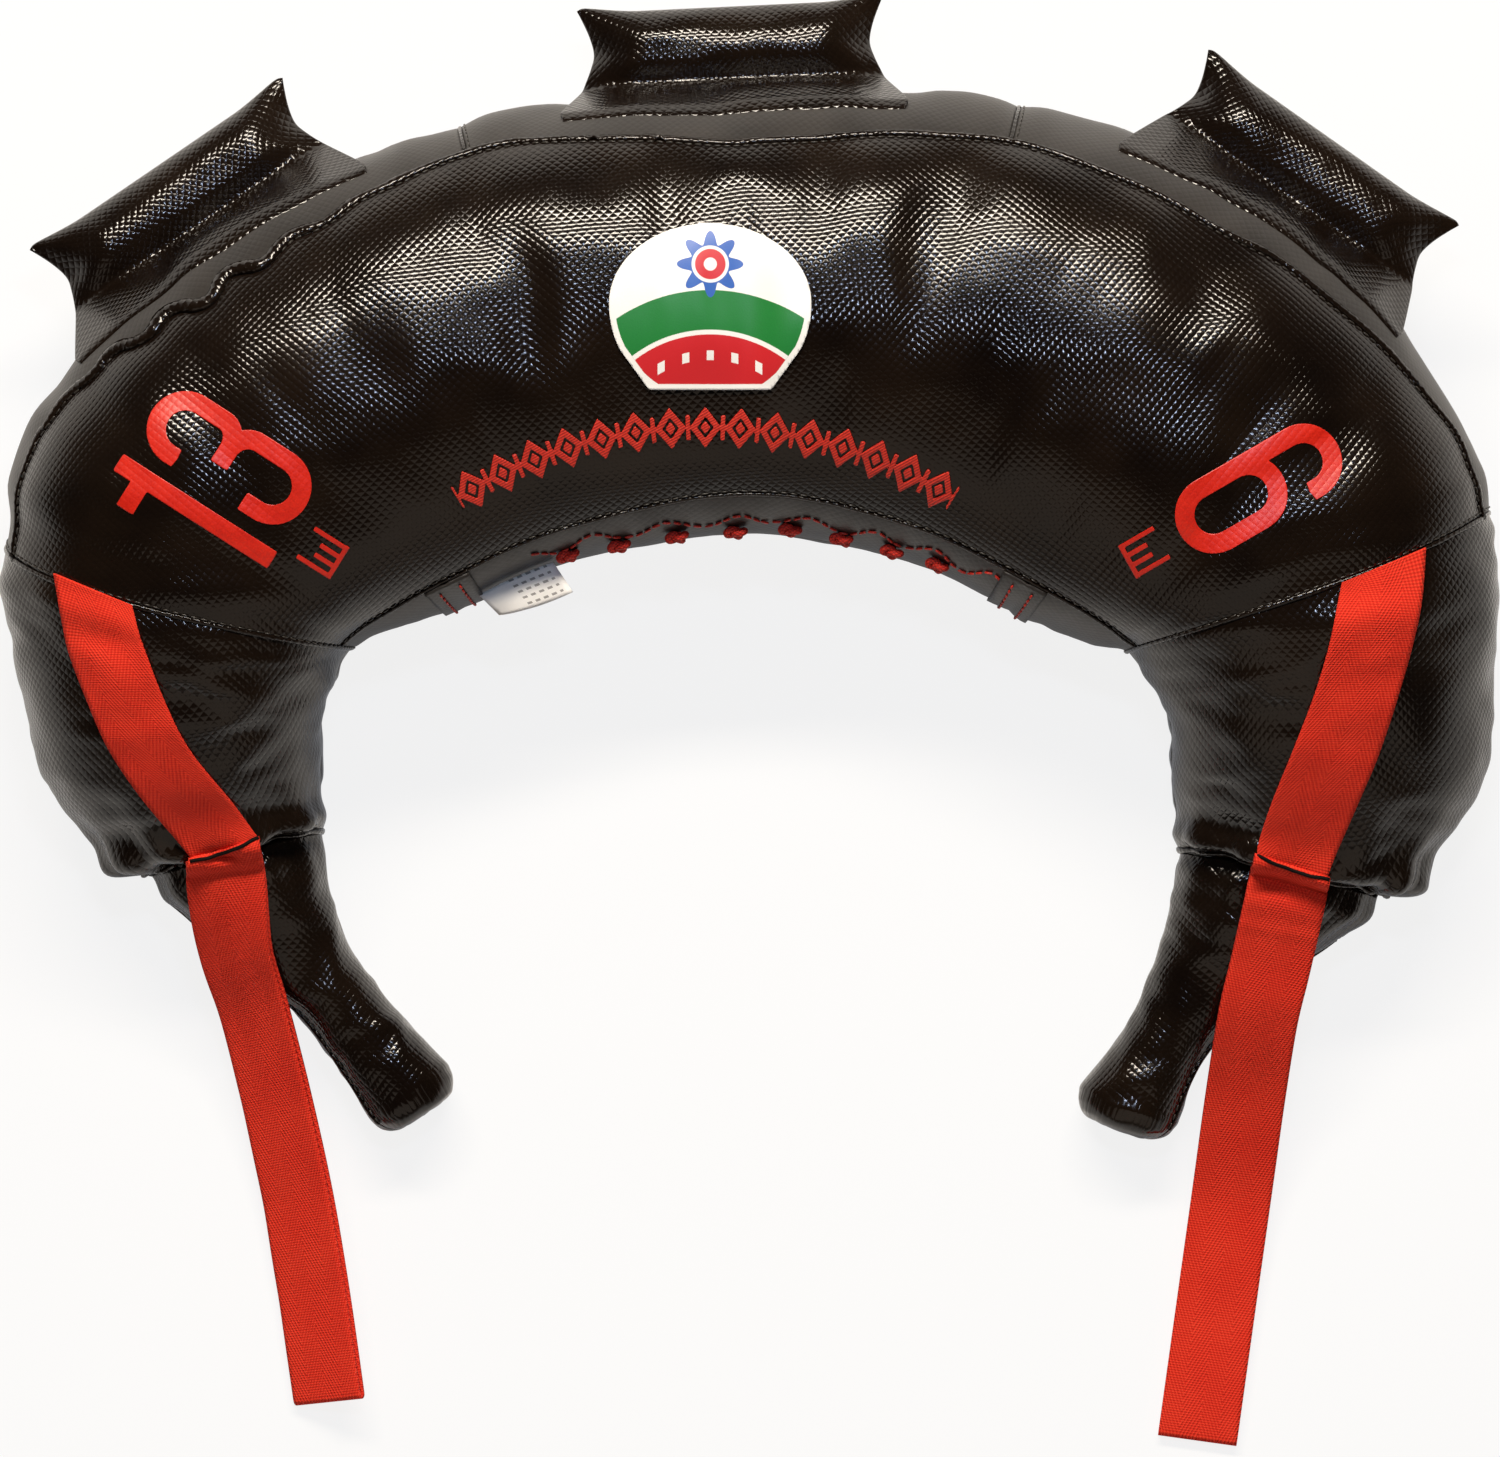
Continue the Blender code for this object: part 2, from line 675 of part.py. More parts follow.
def label(group):
    """Small care label sewn in beside the slit."""
    s = LABEL_STATION
    pace = (rib(s + 0.1)[1] - rib(s - 0.1)[1]).length / 0.2
    half = LABEL_LENGTH / 2 / pace
    grid = []
    for d in (-1, -0.5, 0, 0.5, 1):
        root = section(s + half * d, math.pi * 0.93, -CLEARANCE)
        outer, inner, _, _, _ = rib(s + half * d)
        into = (inner - outer).normalized() * LABEL_WIDTH
        middle = root + Vector((into.x / 2, into.y / 2, LABEL_WIDTH * 0.04))
        tip = root + Vector((into.x, into.y, -LABEL_WIDTH * 0.04))
        grid.append([root, middle, tip])
    sheet("care_label", grid, LABEL_THICK, material("white label", (0.85, 0.85, 0.84), 0.6), group)


def badge(group):
    """Round topped patch on the front panel."""
    cx, cy = (v * BAG_WIDTH for v in BADGE_MIDDLE_SHARES)
    grid = []
    rows = 6
    for i in range(rows + 1):
        v = -0.80 + 1.80 * i / rows
        half = math.sqrt(max(1 - v * v, 0.0)) if v < 1 else 0.0
        half = max(half, 0.16)
        line = []
        for k in range(rows + 1):
            x = cx + (2 * k / rows - 1) * half * BADGE_WIDTH / 2
            y = cy + v * BADGE_WIDTH / 2
            line.append(Vector((x, y, front_height(x, y) + CLEARANCE * 1.4)))
        grid.append(line)
    sheet("badge_patch", grid, BADGE_THICK, material("badge print", (0.8, 0.8, 0.78), 0.4), group)
    bpy.data.objects["badge_patch"].modifiers["cloth"].offset = 1.0


def build():
    """Make the whole bag."""
    clear_scene()
    group = collection_for(BAG)
    skin(group)
    ends(group)
    fillings(group)
    horns(group)
    straps(group)
    loops(group)
    handles(group)
    closing(group)
    label(group)
    badge(group)


build()
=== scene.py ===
# %% [markdown]
# # A bulgarian bag in glossy tarpaulin
# The bag lies on its back on a pale floor and is seen from straight above. The imported CAD model
# comes first, because each piece made here has to follow one of its bodies.

import math

import bmesh
import bpy
import numpy as np
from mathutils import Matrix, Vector, noise
from mathutils.bvhtree import BVHTree


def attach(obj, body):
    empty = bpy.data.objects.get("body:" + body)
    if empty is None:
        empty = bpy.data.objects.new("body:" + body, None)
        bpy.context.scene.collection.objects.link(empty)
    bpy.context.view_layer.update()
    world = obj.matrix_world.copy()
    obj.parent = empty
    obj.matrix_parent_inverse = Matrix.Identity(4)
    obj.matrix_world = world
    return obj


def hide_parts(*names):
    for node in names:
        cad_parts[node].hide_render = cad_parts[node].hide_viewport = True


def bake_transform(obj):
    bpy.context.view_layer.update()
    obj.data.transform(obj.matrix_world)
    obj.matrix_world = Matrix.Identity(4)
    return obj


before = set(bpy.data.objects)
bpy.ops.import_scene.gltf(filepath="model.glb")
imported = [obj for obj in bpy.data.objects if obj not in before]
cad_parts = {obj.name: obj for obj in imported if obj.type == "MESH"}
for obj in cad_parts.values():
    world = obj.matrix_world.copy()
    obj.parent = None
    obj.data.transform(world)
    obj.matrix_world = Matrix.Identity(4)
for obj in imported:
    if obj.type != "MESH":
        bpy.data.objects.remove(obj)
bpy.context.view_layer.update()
BAG_WIDTH = 0.56

# %% [markdown]
# Colours are picked as sRGB hex values, as a maker would read them off a swatch, and the shader
# wants them linear. One function turns them, and one more adds a shader node with its settings
# and links, so that each material below reads as a short list of steps. Every finish here has a
# colour and a fine relief, and a third function puts the two into a material.

# %% Colour and node helpers
def linear(swatch):
    """Linear RGBA of an sRGB hex colour."""
    parts = [int(swatch[k : k + 2], 16) / 255 for k in (1, 3, 5)]
    return (*[c / 12.92 if c <= 0.04045 else ((c + 0.055) / 1.055) ** 2.4 for c in parts], 1.0)


def feed(tree, socket, value):
    """Link an input to a socket or a node's first output, or set it to a number or a hex colour."""
    value = value.outputs[0] if isinstance(value, bpy.types.Node) else value
    if isinstance(value, bpy.types.NodeSocket):
        tree.links.new(value, socket)
    else:
        socket.default_value = linear(value) if isinstance(value, str) else value


def add(tree, kind, *inputs, stops=(), **settings):
    """Add a shader node: a kind such as "Math SINE" with its operation, its inputs in order, the
    (place, hex) stops of a ramp, and any property or input by name."""
    kind, _, operation = kind.partition(" ")
    made = tree.nodes.new("ShaderNode" + kind)
    if operation:
        made.operation = operation
    for socket, value in zip(made.inputs, inputs):
        feed(tree, socket, value)
    for key, value in settings.items():
        if hasattr(made, key):
            setattr(made, key, value)
        else:
            feed(tree, made.inputs[key.replace("_", " ")], value)
    if stops:
        points = made.color_ramp.elements
        while len(points) < len(stops):
            points.new(0.5)
        for point, (place, swatch) in zip(points, stops):
            point.position, point.color = place, linear(swatch)
    return made


def material(name, draw, strength, depth, **inputs):
    """Principled material. Draw adds nodes and gives inputs, with a Height that makes the bump."""
    made = bpy.data.materials.new(name)
    made.use_nodes = True
    tree = made.node_tree
    inputs.update(draw(tree))
    inputs["Normal"] = add(tree, "Bump", Height=inputs.pop("Height"), Strength=strength, Distance=depth)
    for key, value in inputs.items():
        feed(tree, tree.nodes["Principled BSDF"].inputs[key.replace("_", " ")], value)
    return made


# %% [markdown]
# The skin is tarpaulin: a polyester scrim laminated between two films of PVC and pressed by hot
# rollers, so it is smooth and glossy, with each crossing of the yarns standing up under the film as
# a small pillow. The eye reads it by the way each highlight breaks into dots, one to a pillow. Two
# rectified waves at right angles, laid on the flat cut of each panel in metres, raise the pillows
# and leave narrow grooves between them.

# %% Coated tarpaulin
YARN_PITCH, YARN_TURN, PILLOW_FULLNESS = 0.0024, 39, 0.7


def weave_height(tree, coords, pitch, turn):
    """Height of a field of pillows, from 0 to 1, with its rows turned by this angle in degrees."""
    turned = add(tree, "Mapping", coords, Rotation=(0, 0, math.radians(turn)), vector_type="POINT")
    waves = []
    for axis in add(tree, "SeparateXYZ", turned).outputs[:2]:
        wave = add(tree, "Math SINE", add(tree, "Math MULTIPLY", axis, math.pi / pitch))
        waves.append(add(tree, "Math ABSOLUTE", wave))
    return add(tree, "Math POWER", add(tree, "Math MULTIPLY", *waves), PILLOW_FULLNESS)


def tarpaulin(name, gloss=0.13, film_and_sheen="#0d0806", worn="#1a120c", relief=0.50, ior=1.45):
    """Glossy PVC coated fabric, a little duller and paler in clouds where it is worn; on the satin side the
    film and worn colours are raised as a painted sheen.
    """

    def draw(tree):
        coords = add(tree, "UVMap", uv_map="flat cut")
        clouds = add(tree, "TexNoise", coords, Scale=26.0, Detail=4.0)
        grain = add(tree, "TexNoise", coords, Scale=420.0, Detail=3.0)
        thin = add(tree, "Math MULTIPLY_ADD", clouds, 0.10, gloss - 0.05)
        weave = weave_height(tree, coords, YARN_PITCH, YARN_TURN)
        return {
            "Base Color": add(tree, "ValToRGB", clouds, stops=((0.3, film_and_sheen), (0.7, worn))),
            "Roughness": add(tree, "Math MULTIPLY_ADD", grain, 0.04, thin),
            "Height": add(tree, "Math MULTIPLY_ADD", grain, 0.35, weave),
        }

    return material(name, draw, relief, 0.00025, IOR=ior)


skin_look = tarpaulin("pvc coated polyester tarpaulin, hot pressed")
# The satin side has much paler film and worn colours than the glossy side. This is a painted sheen that
# stands in for the grazing reflection of the bright surroundings on the sideways facing gussets, flaps and
# closing patches. Its roughness and IOR are the cloth's own.
satin_side_painted_sheen_look = tarpaulin(
    "pvc coated polyester tarpaulin, satin side", 0.40, "#1d1a18", "#2b2724", 0.25, 1.52
)
print("tarpaulin yarns every", YARN_PITCH * 1000, "mm")

# %% [markdown]
# The bag's shape is a row of ribs, each a squared oval between a point on the outer edge and one
# on the inner edge. The CAD model is built from the same shares of the width, so the fine skin
# made here lies on the CAD skin. Numpy works out all points of a panel at once.

# %% Ribs of the crescent
# Each row: outer point, inner point, thickness, and the places of the outer and inner front seams
RIB_SHARES = np.array([
    (-0.259, -0.262, -0.204, -0.226, 0.064, 0.96, 0.96),
    (-0.301, -0.199, -0.249, -0.177, 0.068, 0.96, 0.96),
    (-0.346, -0.159, -0.276, -0.132, 0.080, 0.96, 0.96),
    (-0.408, -0.104, -0.287, -0.070, 0.108, 0.96, 0.96),
    (-0.468, -0.045, -0.287, -0.025, 0.160, 0.96, 0.96),
    (-0.488, 0.025, -0.284, 0.015, 0.198, 0.95, 0.96),
    (-0.498, 0.122, -0.266, 0.053, 0.220, 0.94, 0.96),
    (-0.472, 0.216, -0.234, 0.068, 0.230, 0.92, 0.92),
    (-0.364, 0.329, -0.187, 0.084, 0.234, 0.74, 0.88),
    (-0.194, 0.402, -0.113, 0.112, 0.236, 0.86, 0.86),
    (-0.001, 0.426, -0.001, 0.129, 0.238, 0.75, 0.83),
    (0.180, 0.416, 0.101, 0.112, 0.236, 0.82, 0.86),
    (0.357, 0.347, 0.181, 0.077, 0.234, 0.77, 0.88),
    (0.471, 0.216, 0.231, 0.059, 0.230, 0.90, 0.92),
    (0.498, 0.122, 0.258, 0.046, 0.220, 0.94, 0.96),
    (0.498, 0.025, 0.280, 0.009, 0.198, 0.95, 0.96),
    (0.488, -0.045, 0.283, -0.031, 0.160, 0.96, 0.96),
    (0.430, -0.118, 0.288, -0.083, 0.108, 0.96, 0.96),
    (0.355, -0.172, 0.280, -0.135, 0.080, 0.96, 0.96),
    (0.310, -0.221, 0.257, -0.195, 0.068, 0.96, 0.96),
    (0.291, -0.264, 0.223, -0.241, 0.064, 0.96, 0.96),
])
LAST = len(RIB_SHARES) - 1
SQUARENESS, CENTRE_SHARE = 0.85, 0.47
TIP_ROUND, TIP_SQUARE = 0.012, 0.42


def spline(rows, s):
    """Smooth curve through evenly numbered rows, at each row number in s."""
    rows = np.asarray(rows, float)
    last = len(rows) - 1
    s = np.clip(np.asarray(s, float), 0, last)
    i = np.minimum(s.astype(int), last - 1)
    f = (s - i)[..., None]
    a, b, c, d = (rows[np.clip(i + k, 0, last)] for k in (-1, 0, 1, 2))
    return 0.5 * (2 * b + (c - a) * f + (2 * a - 5 * b + 4 * c - d) * f**2 + (3 * b - a - 3 * c + d) * f**3)


def rib(s):
    """Outer point, inner point and thickness of the section at each s, and its two seam angles."""
    row = spline(RIB_SHARES, s)
    seam = [np.arccos(np.minimum(row[..., k], 0.999) ** (1 / SQUARENESS)) for k in (5, 6)]
    return row[..., 0:2] * BAG_WIDTH, row[..., 2:4] * BAG_WIDTH, row[..., 4] * BAG_WIDTH, seam[0], seam[1]


def squared(value):
    """Power that squares up an oval a little."""
    return np.sign(value) * np.abs(value) ** SQUARENESS


def drift(s, angle):
    """How far the cross seams wander from the ribs, in stations, fading out away from them."""
    left = -0.20 * np.maximum(np.sin(angle), 0) * np.exp(-(((s - 6) / 0.9) ** 2))
    right = -(0.12 + 0.12 * np.cos(angle) ** 2) * np.exp(-(((s - 14) / 0.9) ** 2))
    return left + right


def surface(s, angle, inset=0.0):
    """Points on the bag at stations s and at angles round the section, this far inside its skin."""
    s, angle = np.broadcast_arrays(np.asarray(s, float), np.asarray(angle, float))
    s = s + drift(s, angle)
    past = np.clip(np.maximum(-s, s - LAST), 0, 1)
    outer, inner, thick, _, _ = rib(s)
    middle = (outer + inner) / 2
    half = np.linalg.norm(outer - inner, axis=-1) / 2
    across = (outer - inner) / (2 * half[..., None])
    centre = thick * CENTRE_SHARE
    level = centre + squared(np.sin(angle)) * (thick - centre - inset)
    level = np.maximum(level, inset)
    reach = squared(np.cos(angle)) * (half - inset)
    turn = past * math.pi / 2
    shrink = np.maximum(np.cos(turn), 0) ** TIP_SQUARE
    onward = np.stack([across[..., 1], -across[..., 0]], -1) * np.where(s > LAST, 1, -1)[..., None]
    middle = middle + onward * (np.sin(turn) * (TIP_ROUND - inset))[..., None]
    level = centre + (level - centre) * np.where(past > 0, shrink, 1)
    flat = middle + across * (reach * shrink)[..., None]
    return np.concatenate([flat, level[..., None]], -1)


def run_along(points):
    """Length of a path up to each of its points."""
    return np.concatenate([[0], np.cumsum(np.linalg.norm(np.diff(points, axis=0), axis=1))])


print("section at the middle is", round(float(rib(10.0)[2]) * 1000), "mm thick")

# %% [markdown]
# Each panel is a grid of points between two stations and two seams, spaced evenly along its own
# arcs, so that the cloth solver gets square cells. The second set of coordinates is the flat cut:
# where each point lay on the bolt. The front keeps its plan and is unrolled across, and the
# gussets are unrolled to straight strips.

# %% Panel grids
CELL = 0.0045
SEAM_INSET = 0.0006


def stations_between(start, end):
    """Stations from start to end, about one cell apart along the middle of the section."""
    fine = np.linspace(start, end, 400)
    outer, inner = rib(fine)[:2]
    run = run_along(outer * 0.7 + inner * 0.3)
    count = max(int(round(run[-1] / CELL)), 4)
    return np.interp(np.linspace(0, run[-1], count + 1), run, fine)


def panel_grid(stations, first, last, strip):
    """Grid of points, its flat cut, its angles and its stations, from angle first(s) to last(s)."""
    arcs = []
    for s in stations:
        angle = np.linspace(first(s), last(s), 160)
        arcs.append((angle, run_along(surface(s, angle))))
    count = max(4, *(int(round(way[-1] / CELL)) for _, way in arcs))
    rows, cuts, angles = [], [], []
    along, before = 0.0, None
    for s, (angle, way) in zip(stations, arcs):
        here = np.linspace(0, way[-1], count + 1)
        turned = np.interp(here, way, angle)
        if strip:
            middle = surface(s, (angle[0] + angle[-1]) / 2)
            along += 0.0 if before is None else float(np.linalg.norm(middle - before))
            before = middle
            cut = np.stack([np.full(count + 1, along), here - way[-1] / 2], -1)
        else:
            outer, inner = rib(s + drift(s, turned))[:2]
            across = (outer - inner) / np.linalg.norm(outer - inner, axis=1)[:, None]
            top = math.pi / 2 if angle[0] < math.pi / 2 else 1.5 * math.pi
            ridge = float(np.interp(top, angle, way))
            cut = (outer + inner) / 2 + across * (ridge - here)[:, None]
        rows.append(surface(s, turned, SEAM_INSET))
        cuts.append(cut)
        angles.append(turned)
    return np.array(rows), np.array(cuts), np.array(angles), stations


def grid_faces(rows, columns, base=0):
    """Quads of a grid, turned so that their normals point out of the bag."""
    index = base + np.arange(rows * columns).reshape(rows, columns)
    quads = np.stack([index[:-1, :-1], index[:-1, 1:], index[1:, 1:], index[1:, :-1]], -1)
    return quads.reshape(-1, 4)


def mesh_object(name, points, faces, look, cut=None):
    """Mesh object from arrays, with the flat cut as its UV map, smooth shaded."""
    mesh = bpy.data.meshes.new(name)
    mesh.from_pydata([tuple(p) for p in np.asarray(points).reshape(-1, 3)], [], [tuple(f) for f in faces])
    if cut is not None:
        cut = np.asarray(cut).reshape(-1, 2)
        layer = mesh.uv_layers.new(name="flat cut")
        corners = np.empty(len(mesh.loops), int)
        mesh.loops.foreach_get("vertex_index", corners)
        layer.data.foreach_set("uv", cut[corners].astype(np.float32).ravel())
    mesh.materials.append(look)
    mesh.polygons.foreach_set("use_smooth", [True] * len(mesh.polygons))
    made = bpy.data.objects.new(name, mesh)
    bpy.context.scene.collection.objects.link(made)
    return made


LEFT_WRIST, LEFT_CROSS, RIGHT_CROSS, RIGHT_WRIST = 3, 6, 14, 17
LEFT_JOIN, RIGHT_JOIN = 9, 11
CLOSING_LEFT, CLOSING_RIGHT = 7.92, 11.90


def outer_seam(s):
    """Angle of the front seam on the outer side, with the small wander of a hand guided seam."""
    wander = noise.noise(Vector((float(s) * 2.7, 1.5, 0.0))) * 0.05
    ruffle = math.exp(-((float(s) - 7.8) ** 2) / 0.45) * math.sin(float(s) * 21.0) * 0.060
    return float(rib(s)[3]) * (1 + wander + ruffle)


def inner_seam(s):
    """Angle of the front seam on the inner side."""
    return math.pi - float(rib(s)[4])


def back_inner(s):
    """Angle of the back seam on the inner side."""
    return 2 * math.pi - inner_seam(s)


def under_outer(s):
    """Angle of the back seam on the outer side, counted down from the edge."""
    return -float(rib(s)[3])


def back_outer(s):
    """The same angle, counted up all the way round."""
    return 2 * math.pi - float(rib(s)[3])


def horn_seam(s):
    """Angle of the horn's outer seam, which turns to the front toward the tip."""
    near_tip = min(max((2.4 - min(float(s), LAST - float(s))) / 2.0, 0.0), 1.0)
    return 0.42 * near_tip * near_tip * (3 - 2 * near_tip)


def outer_edge(s):
    """Angle of the outermost line, where front and back of an end meet."""
    return 0.0


def inner_edge(s):
    """Angle of the innermost line, across from the outer one."""
    return math.pi


# Stations and seams between which each panel lies
PANELS = {
    "front_panel": (LEFT_CROSS, RIGHT_CROSS, outer_seam, inner_seam),
    "back_panel": (LEFT_CROSS, RIGHT_CROSS, back_inner, back_outer),
    "outer_gusset_left": (LEFT_CROSS, LEFT_JOIN, under_outer, outer_seam),
    "outer_gusset_centre": (LEFT_JOIN, RIGHT_JOIN, under_outer, outer_seam),
    "outer_gusset_right": (RIGHT_JOIN, RIGHT_CROSS, under_outer, outer_seam),
    "inner_gusset_left": (LEFT_CROSS, CLOSING_LEFT, inner_seam, back_inner),
    "inner_gusset_right": (CLOSING_RIGHT, RIGHT_CROSS, inner_seam, back_inner),
    "closing_flap_front": (CLOSING_LEFT, CLOSING_RIGHT, inner_seam, inner_edge),
    "closing_flap_back": (CLOSING_LEFT, CLOSING_RIGHT, inner_edge, back_inner),
    "left_end_front": (LEFT_WRIST, LEFT_CROSS, outer_edge, inner_edge),
    "left_end_back": (LEFT_WRIST, LEFT_CROSS, inner_edge, lambda s: 2 * math.pi),
    "right_end_front": (RIGHT_CROSS, RIGHT_WRIST, outer_edge, inner_edge),
    "right_end_back": (RIGHT_CROSS, RIGHT_WRIST, inner_edge, lambda s: 2 * math.pi),
}
# Rows of the rounded horn tips, as stations past the last rib
TIP_ROWS = np.array((0.12, 0.26, 0.40, 0.53, 0.65, 0.75, 0.84, 0.91, 0.96))
HORN_ROWS = {
    "left": np.concatenate([-TIP_ROWS[::-1], stations_between(0, LEFT_WRIST)]),
    "right": np.concatenate([stations_between(RIGHT_WRIST, LAST), LAST + TIP_ROWS]),
}
grids = {}
for name, (start, end, first, last) in PANELS.items():
    strip = "gusset" in name or "flap" in name
    grids[name] = panel_grid(stations_between(start, end), first, last, strip)
for side, rows in HORN_ROWS.items():
    grids[side + "_horn_front"] = panel_grid(rows, horn_seam, inner_edge, False)
    grids[side + "_horn_back"] = panel_grid(rows, inner_edge, lambda s: 2 * math.pi + horn_seam(s), False)
print("skin cells", sum(g[0].shape[0] * g[0].shape[1] for g in grids.values()))

# %% [markdown]
# Cloth that is filled tight bulges between its seams, and because it was cut a little larger than
# the shape it covers, the spare cloth buckles into puckers square to each seam. The solver does
# that by itself: the seams are pinned, the cloth grows by a few per cent and pressure pushes it
# out. One run does all panels, since none of them touch except at pinned points.

# %% Swell the skin
EXTRA_CLOTH, FILLING_PRESSURE, SOLVE_FRAMES = 0.035, 4.0, 20
SWELL_CAP, LEAST_SWELL, SWELL_BLEND = 0.0050, -0.0003, 0.0005
CLOTH_SETTINGS = {
    "vertex_group_mass": "seams", "quality": 6, "mass": 0.25, "tension_stiffness": 40,
    "compression_stiffness": 40, "shear_stiffness": 12, "bending_stiffness": 0.35, "air_damping": 4.0,
    "use_pressure": True, "uniform_pressure_force": FILLING_PRESSURE, "shrink_min": -EXTRA_CLOTH,
}


def swell(parts, calm):
    """Run one cloth solve over grids that share no free points, and give back the moved grids.

    Calm is how many rounds of smoothing across its seams each grid gets: the filling presses out
    folds that run along a seam, and leaves the puckers that cross it.
    """
    faces, pins, base = [], [], 0
    for grid in parts:
        rows, columns = grid.shape[:2]
        faces.append(grid_faces(rows, columns, base))
        edge = np.zeros((rows, columns), bool)
        edge[0], edge[-1], edge[:, 0], edge[:, -1] = True, True, True, True
        pins.append(edge.ravel())
        base += rows * columns
    rest = np.concatenate([grid.reshape(-1, 3) for grid in parts])
    jitter = np.array([noise.noise(Vector(p) * 140.0) for p in rest])
    held = np.concatenate(pins)
    made = mesh_object("swelling", rest, np.concatenate(faces), skin_look)
    normals = np.array([v.normal[:] for v in made.data.vertices])
    begin = rest + normals * (jitter * 0.0006 * ~held)[:, None]
    made.data.vertices.foreach_set("co", begin.ravel())
    group = made.vertex_groups.new(name="seams")
    group.add([int(k) for k in np.flatnonzero(held)], 1.0, "REPLACE")
    cloth = made.modifiers.new("cloth", "CLOTH")
    for key, value in CLOTH_SETTINGS.items():
        setattr(cloth.settings, key, value)
    cloth.settings.effector_weights.gravity = 0.0
    cloth.collision_settings.use_collision = False
    cloth.point_cache.frame_end = SOLVE_FRAMES
    scene = bpy.context.scene
    for step in range(1, SOLVE_FRAMES + 1):
        scene.frame_set(step)
    solved = made.evaluated_get(bpy.context.evaluated_depsgraph_get()).to_mesh()
    moved = np.empty(len(rest) * 3)
    solved.vertices.foreach_get("co", moved)
    scene.frame_set(1)
    bpy.data.objects.remove(made)
    step = moved.reshape(-1, 3) - rest
    out = np.sum(step * normals, axis=1)
    soft = np.logaddexp(0, (out - LEAST_SWELL) / SWELL_BLEND) * SWELL_BLEND + LEAST_SWELL
    step = step + normals * ((soft - out) * ~held)[:, None]
    length = np.linalg.norm(step, axis=1)
    print("skin moved", np.round(np.percentile(length, (50, 90, 99, 100)) * 1000, 2), "mm")
    keep = SWELL_CAP * np.tanh(length / SWELL_CAP) / np.maximum(length, 1e-9)
    moved = rest + step * keep[:, None]
    result, base = [], 0
    for grid, rounds in zip(parts, calm):
        size = grid.shape[0] * grid.shape[1]
        step = moved[base : base + size].reshape(grid.shape) - grid
        for _ in range(rounds):
            step[:, 1:-1] = (step[:, :-2] + step[:, 1:-1] * 2 + step[:, 2:]) / 4
        result.append(grid + step)
        base += size
    return result


solved = [grid[0] for grid in grids.values()]
solved = swell(solved, [3 if "end" in name or "horn" in name else 14 for name in grids])

# %% [markdown]
# The loose wool under the skin leaves soft lumps a few centimetres across, which break the long
# highlights on the front. They are added as a slow noise along the normals, fading out at the
# seams. At the wrists the cloth is gathered: it pinches in at the seam, stands up in a roll
# before it, and runs off in folds.

# %% Lumps, gathers and folds
FOLD_REACH = 0.05
GATHER_COUNT, POUCH_FOLD, HORN_FOLD = 11, 0.0026, 0.0016
ROLL_HEIGHT, ROLL_PLACE, ROLL_WIDTH = 0.0062, 0.0095, 0.0058
PINCH_DEPTH, PINCH_WIDTH = 0.0042, 0.0044
SLACK_HEIGHT, SLACK_LENGTH, SLACK_WIDTH = 0.0026, 0.045, 0.0105


def grid_normals(grid):
    """Outward unit normals of a grid."""
    normal = np.cross(np.gradient(grid, axis=1), np.gradient(grid, axis=0))
    return normal / np.maximum(np.linalg.norm(normal, axis=-1, keepdims=True), 1e-12)


def edge_share(rows, columns, reach):
    """Rises from 0 at the border of a grid to 1 this many cells inside it."""
    i = np.minimum(np.arange(rows), np.arange(rows)[::-1])[:, None]
    j = np.minimum(np.arange(columns), np.arange(columns)[::-1])[None, :]
    return np.clip(np.minimum(i, j) / reach, 0, 1)


def lumps(grid, scale, seed):
    """Soft noise from -1 to 1 over the points of a grid, with features of this size in metres."""
    flat = grid.reshape(-1, 3) / scale
    value = [noise.noise(Vector(p) + Vector((seed, seed * 1.7, 0))) for p in flat]
    return np.array(value).reshape(grid.shape[:2])


def offset_from(stations, place):
    """Plan vector of the middle of each section from the middle of the one at a seam."""
    outer, inner = rib(stations)[:2]
    here, there = rib(float(place))[:2]
    return (outer + inner) / 2 - (here + there) / 2


def gathers(stations, angles):
    """Rise of the folds where the cloth is gathered into a wrist seam."""
    total = np.zeros(angles.shape)
    for wrist, inward in ((LEFT_WRIST, 1), (RIGHT_WRIST, -1)):
        far = np.linalg.norm(offset_from(stations, wrist), axis=1)
        pouch = np.clip(np.sign(np.asarray(stations) - wrist) * inward, 0, 1)
        for i in np.flatnonzero(far <= FOLD_REACH):
            fall = math.exp(-((far[i] / 0.019) ** 2)) * (1 - 0.75 * math.exp(-far[i] / 0.003))
            folds = np.array([
                math.sin(a * GATHER_COUNT + 2.2 * noise.noise(Vector((a * 1.6, wrist, far[i] * 30))))
                + 0.5 * noise.noise(Vector((a * 7.0, wrist * 2.0, far[i] * 90)))
                for a in angles[i]
            ])
            size = POUCH_FOLD if pouch[i] else HORN_FOLD
            taut = 1 - 0.85 * np.exp(-(((angles[i] - math.pi) / 0.75) ** 2))
            roll = ROLL_HEIGHT * pouch[i] * math.exp(-(((far[i] - ROLL_PLACE) / ROLL_WIDTH) ** 2))
            pinch = PINCH_DEPTH * math.exp(-((far[i] / PINCH_WIDTH) ** 2))
            total[i] += (folds * size * fall + roll - pinch) * taut
    return total


def seam_folds(grid, stations):
    """Rise of the slack folds that run along both cross seams."""
    total = np.zeros(grid.shape[:2])
    for cross, along in ((LEFT_CROSS, (0.97, -0.24)), (RIGHT_CROSS, (0.97, 0.24))):
        across = np.array((-along[1], along[0]))
        for i, far in enumerate(np.abs(offset_from(stations, cross) @ across)):
            if far > FOLD_REACH:
                continue
            fall = math.exp(-((far / 0.024) ** 2)) * (1 - math.exp(-far / 0.004))
            for j, (x, y) in enumerate(grid[i, :, :2]):
                spot = (
                    (x * along[0] + y * along[1]) / SLACK_LENGTH,
                    (x * across[0] + y * across[1]) / SLACK_WIDTH, cross * 1.7,
                )
                total[i, j] += SLACK_HEIGHT * fall * noise.noise(Vector(spot))
    return total


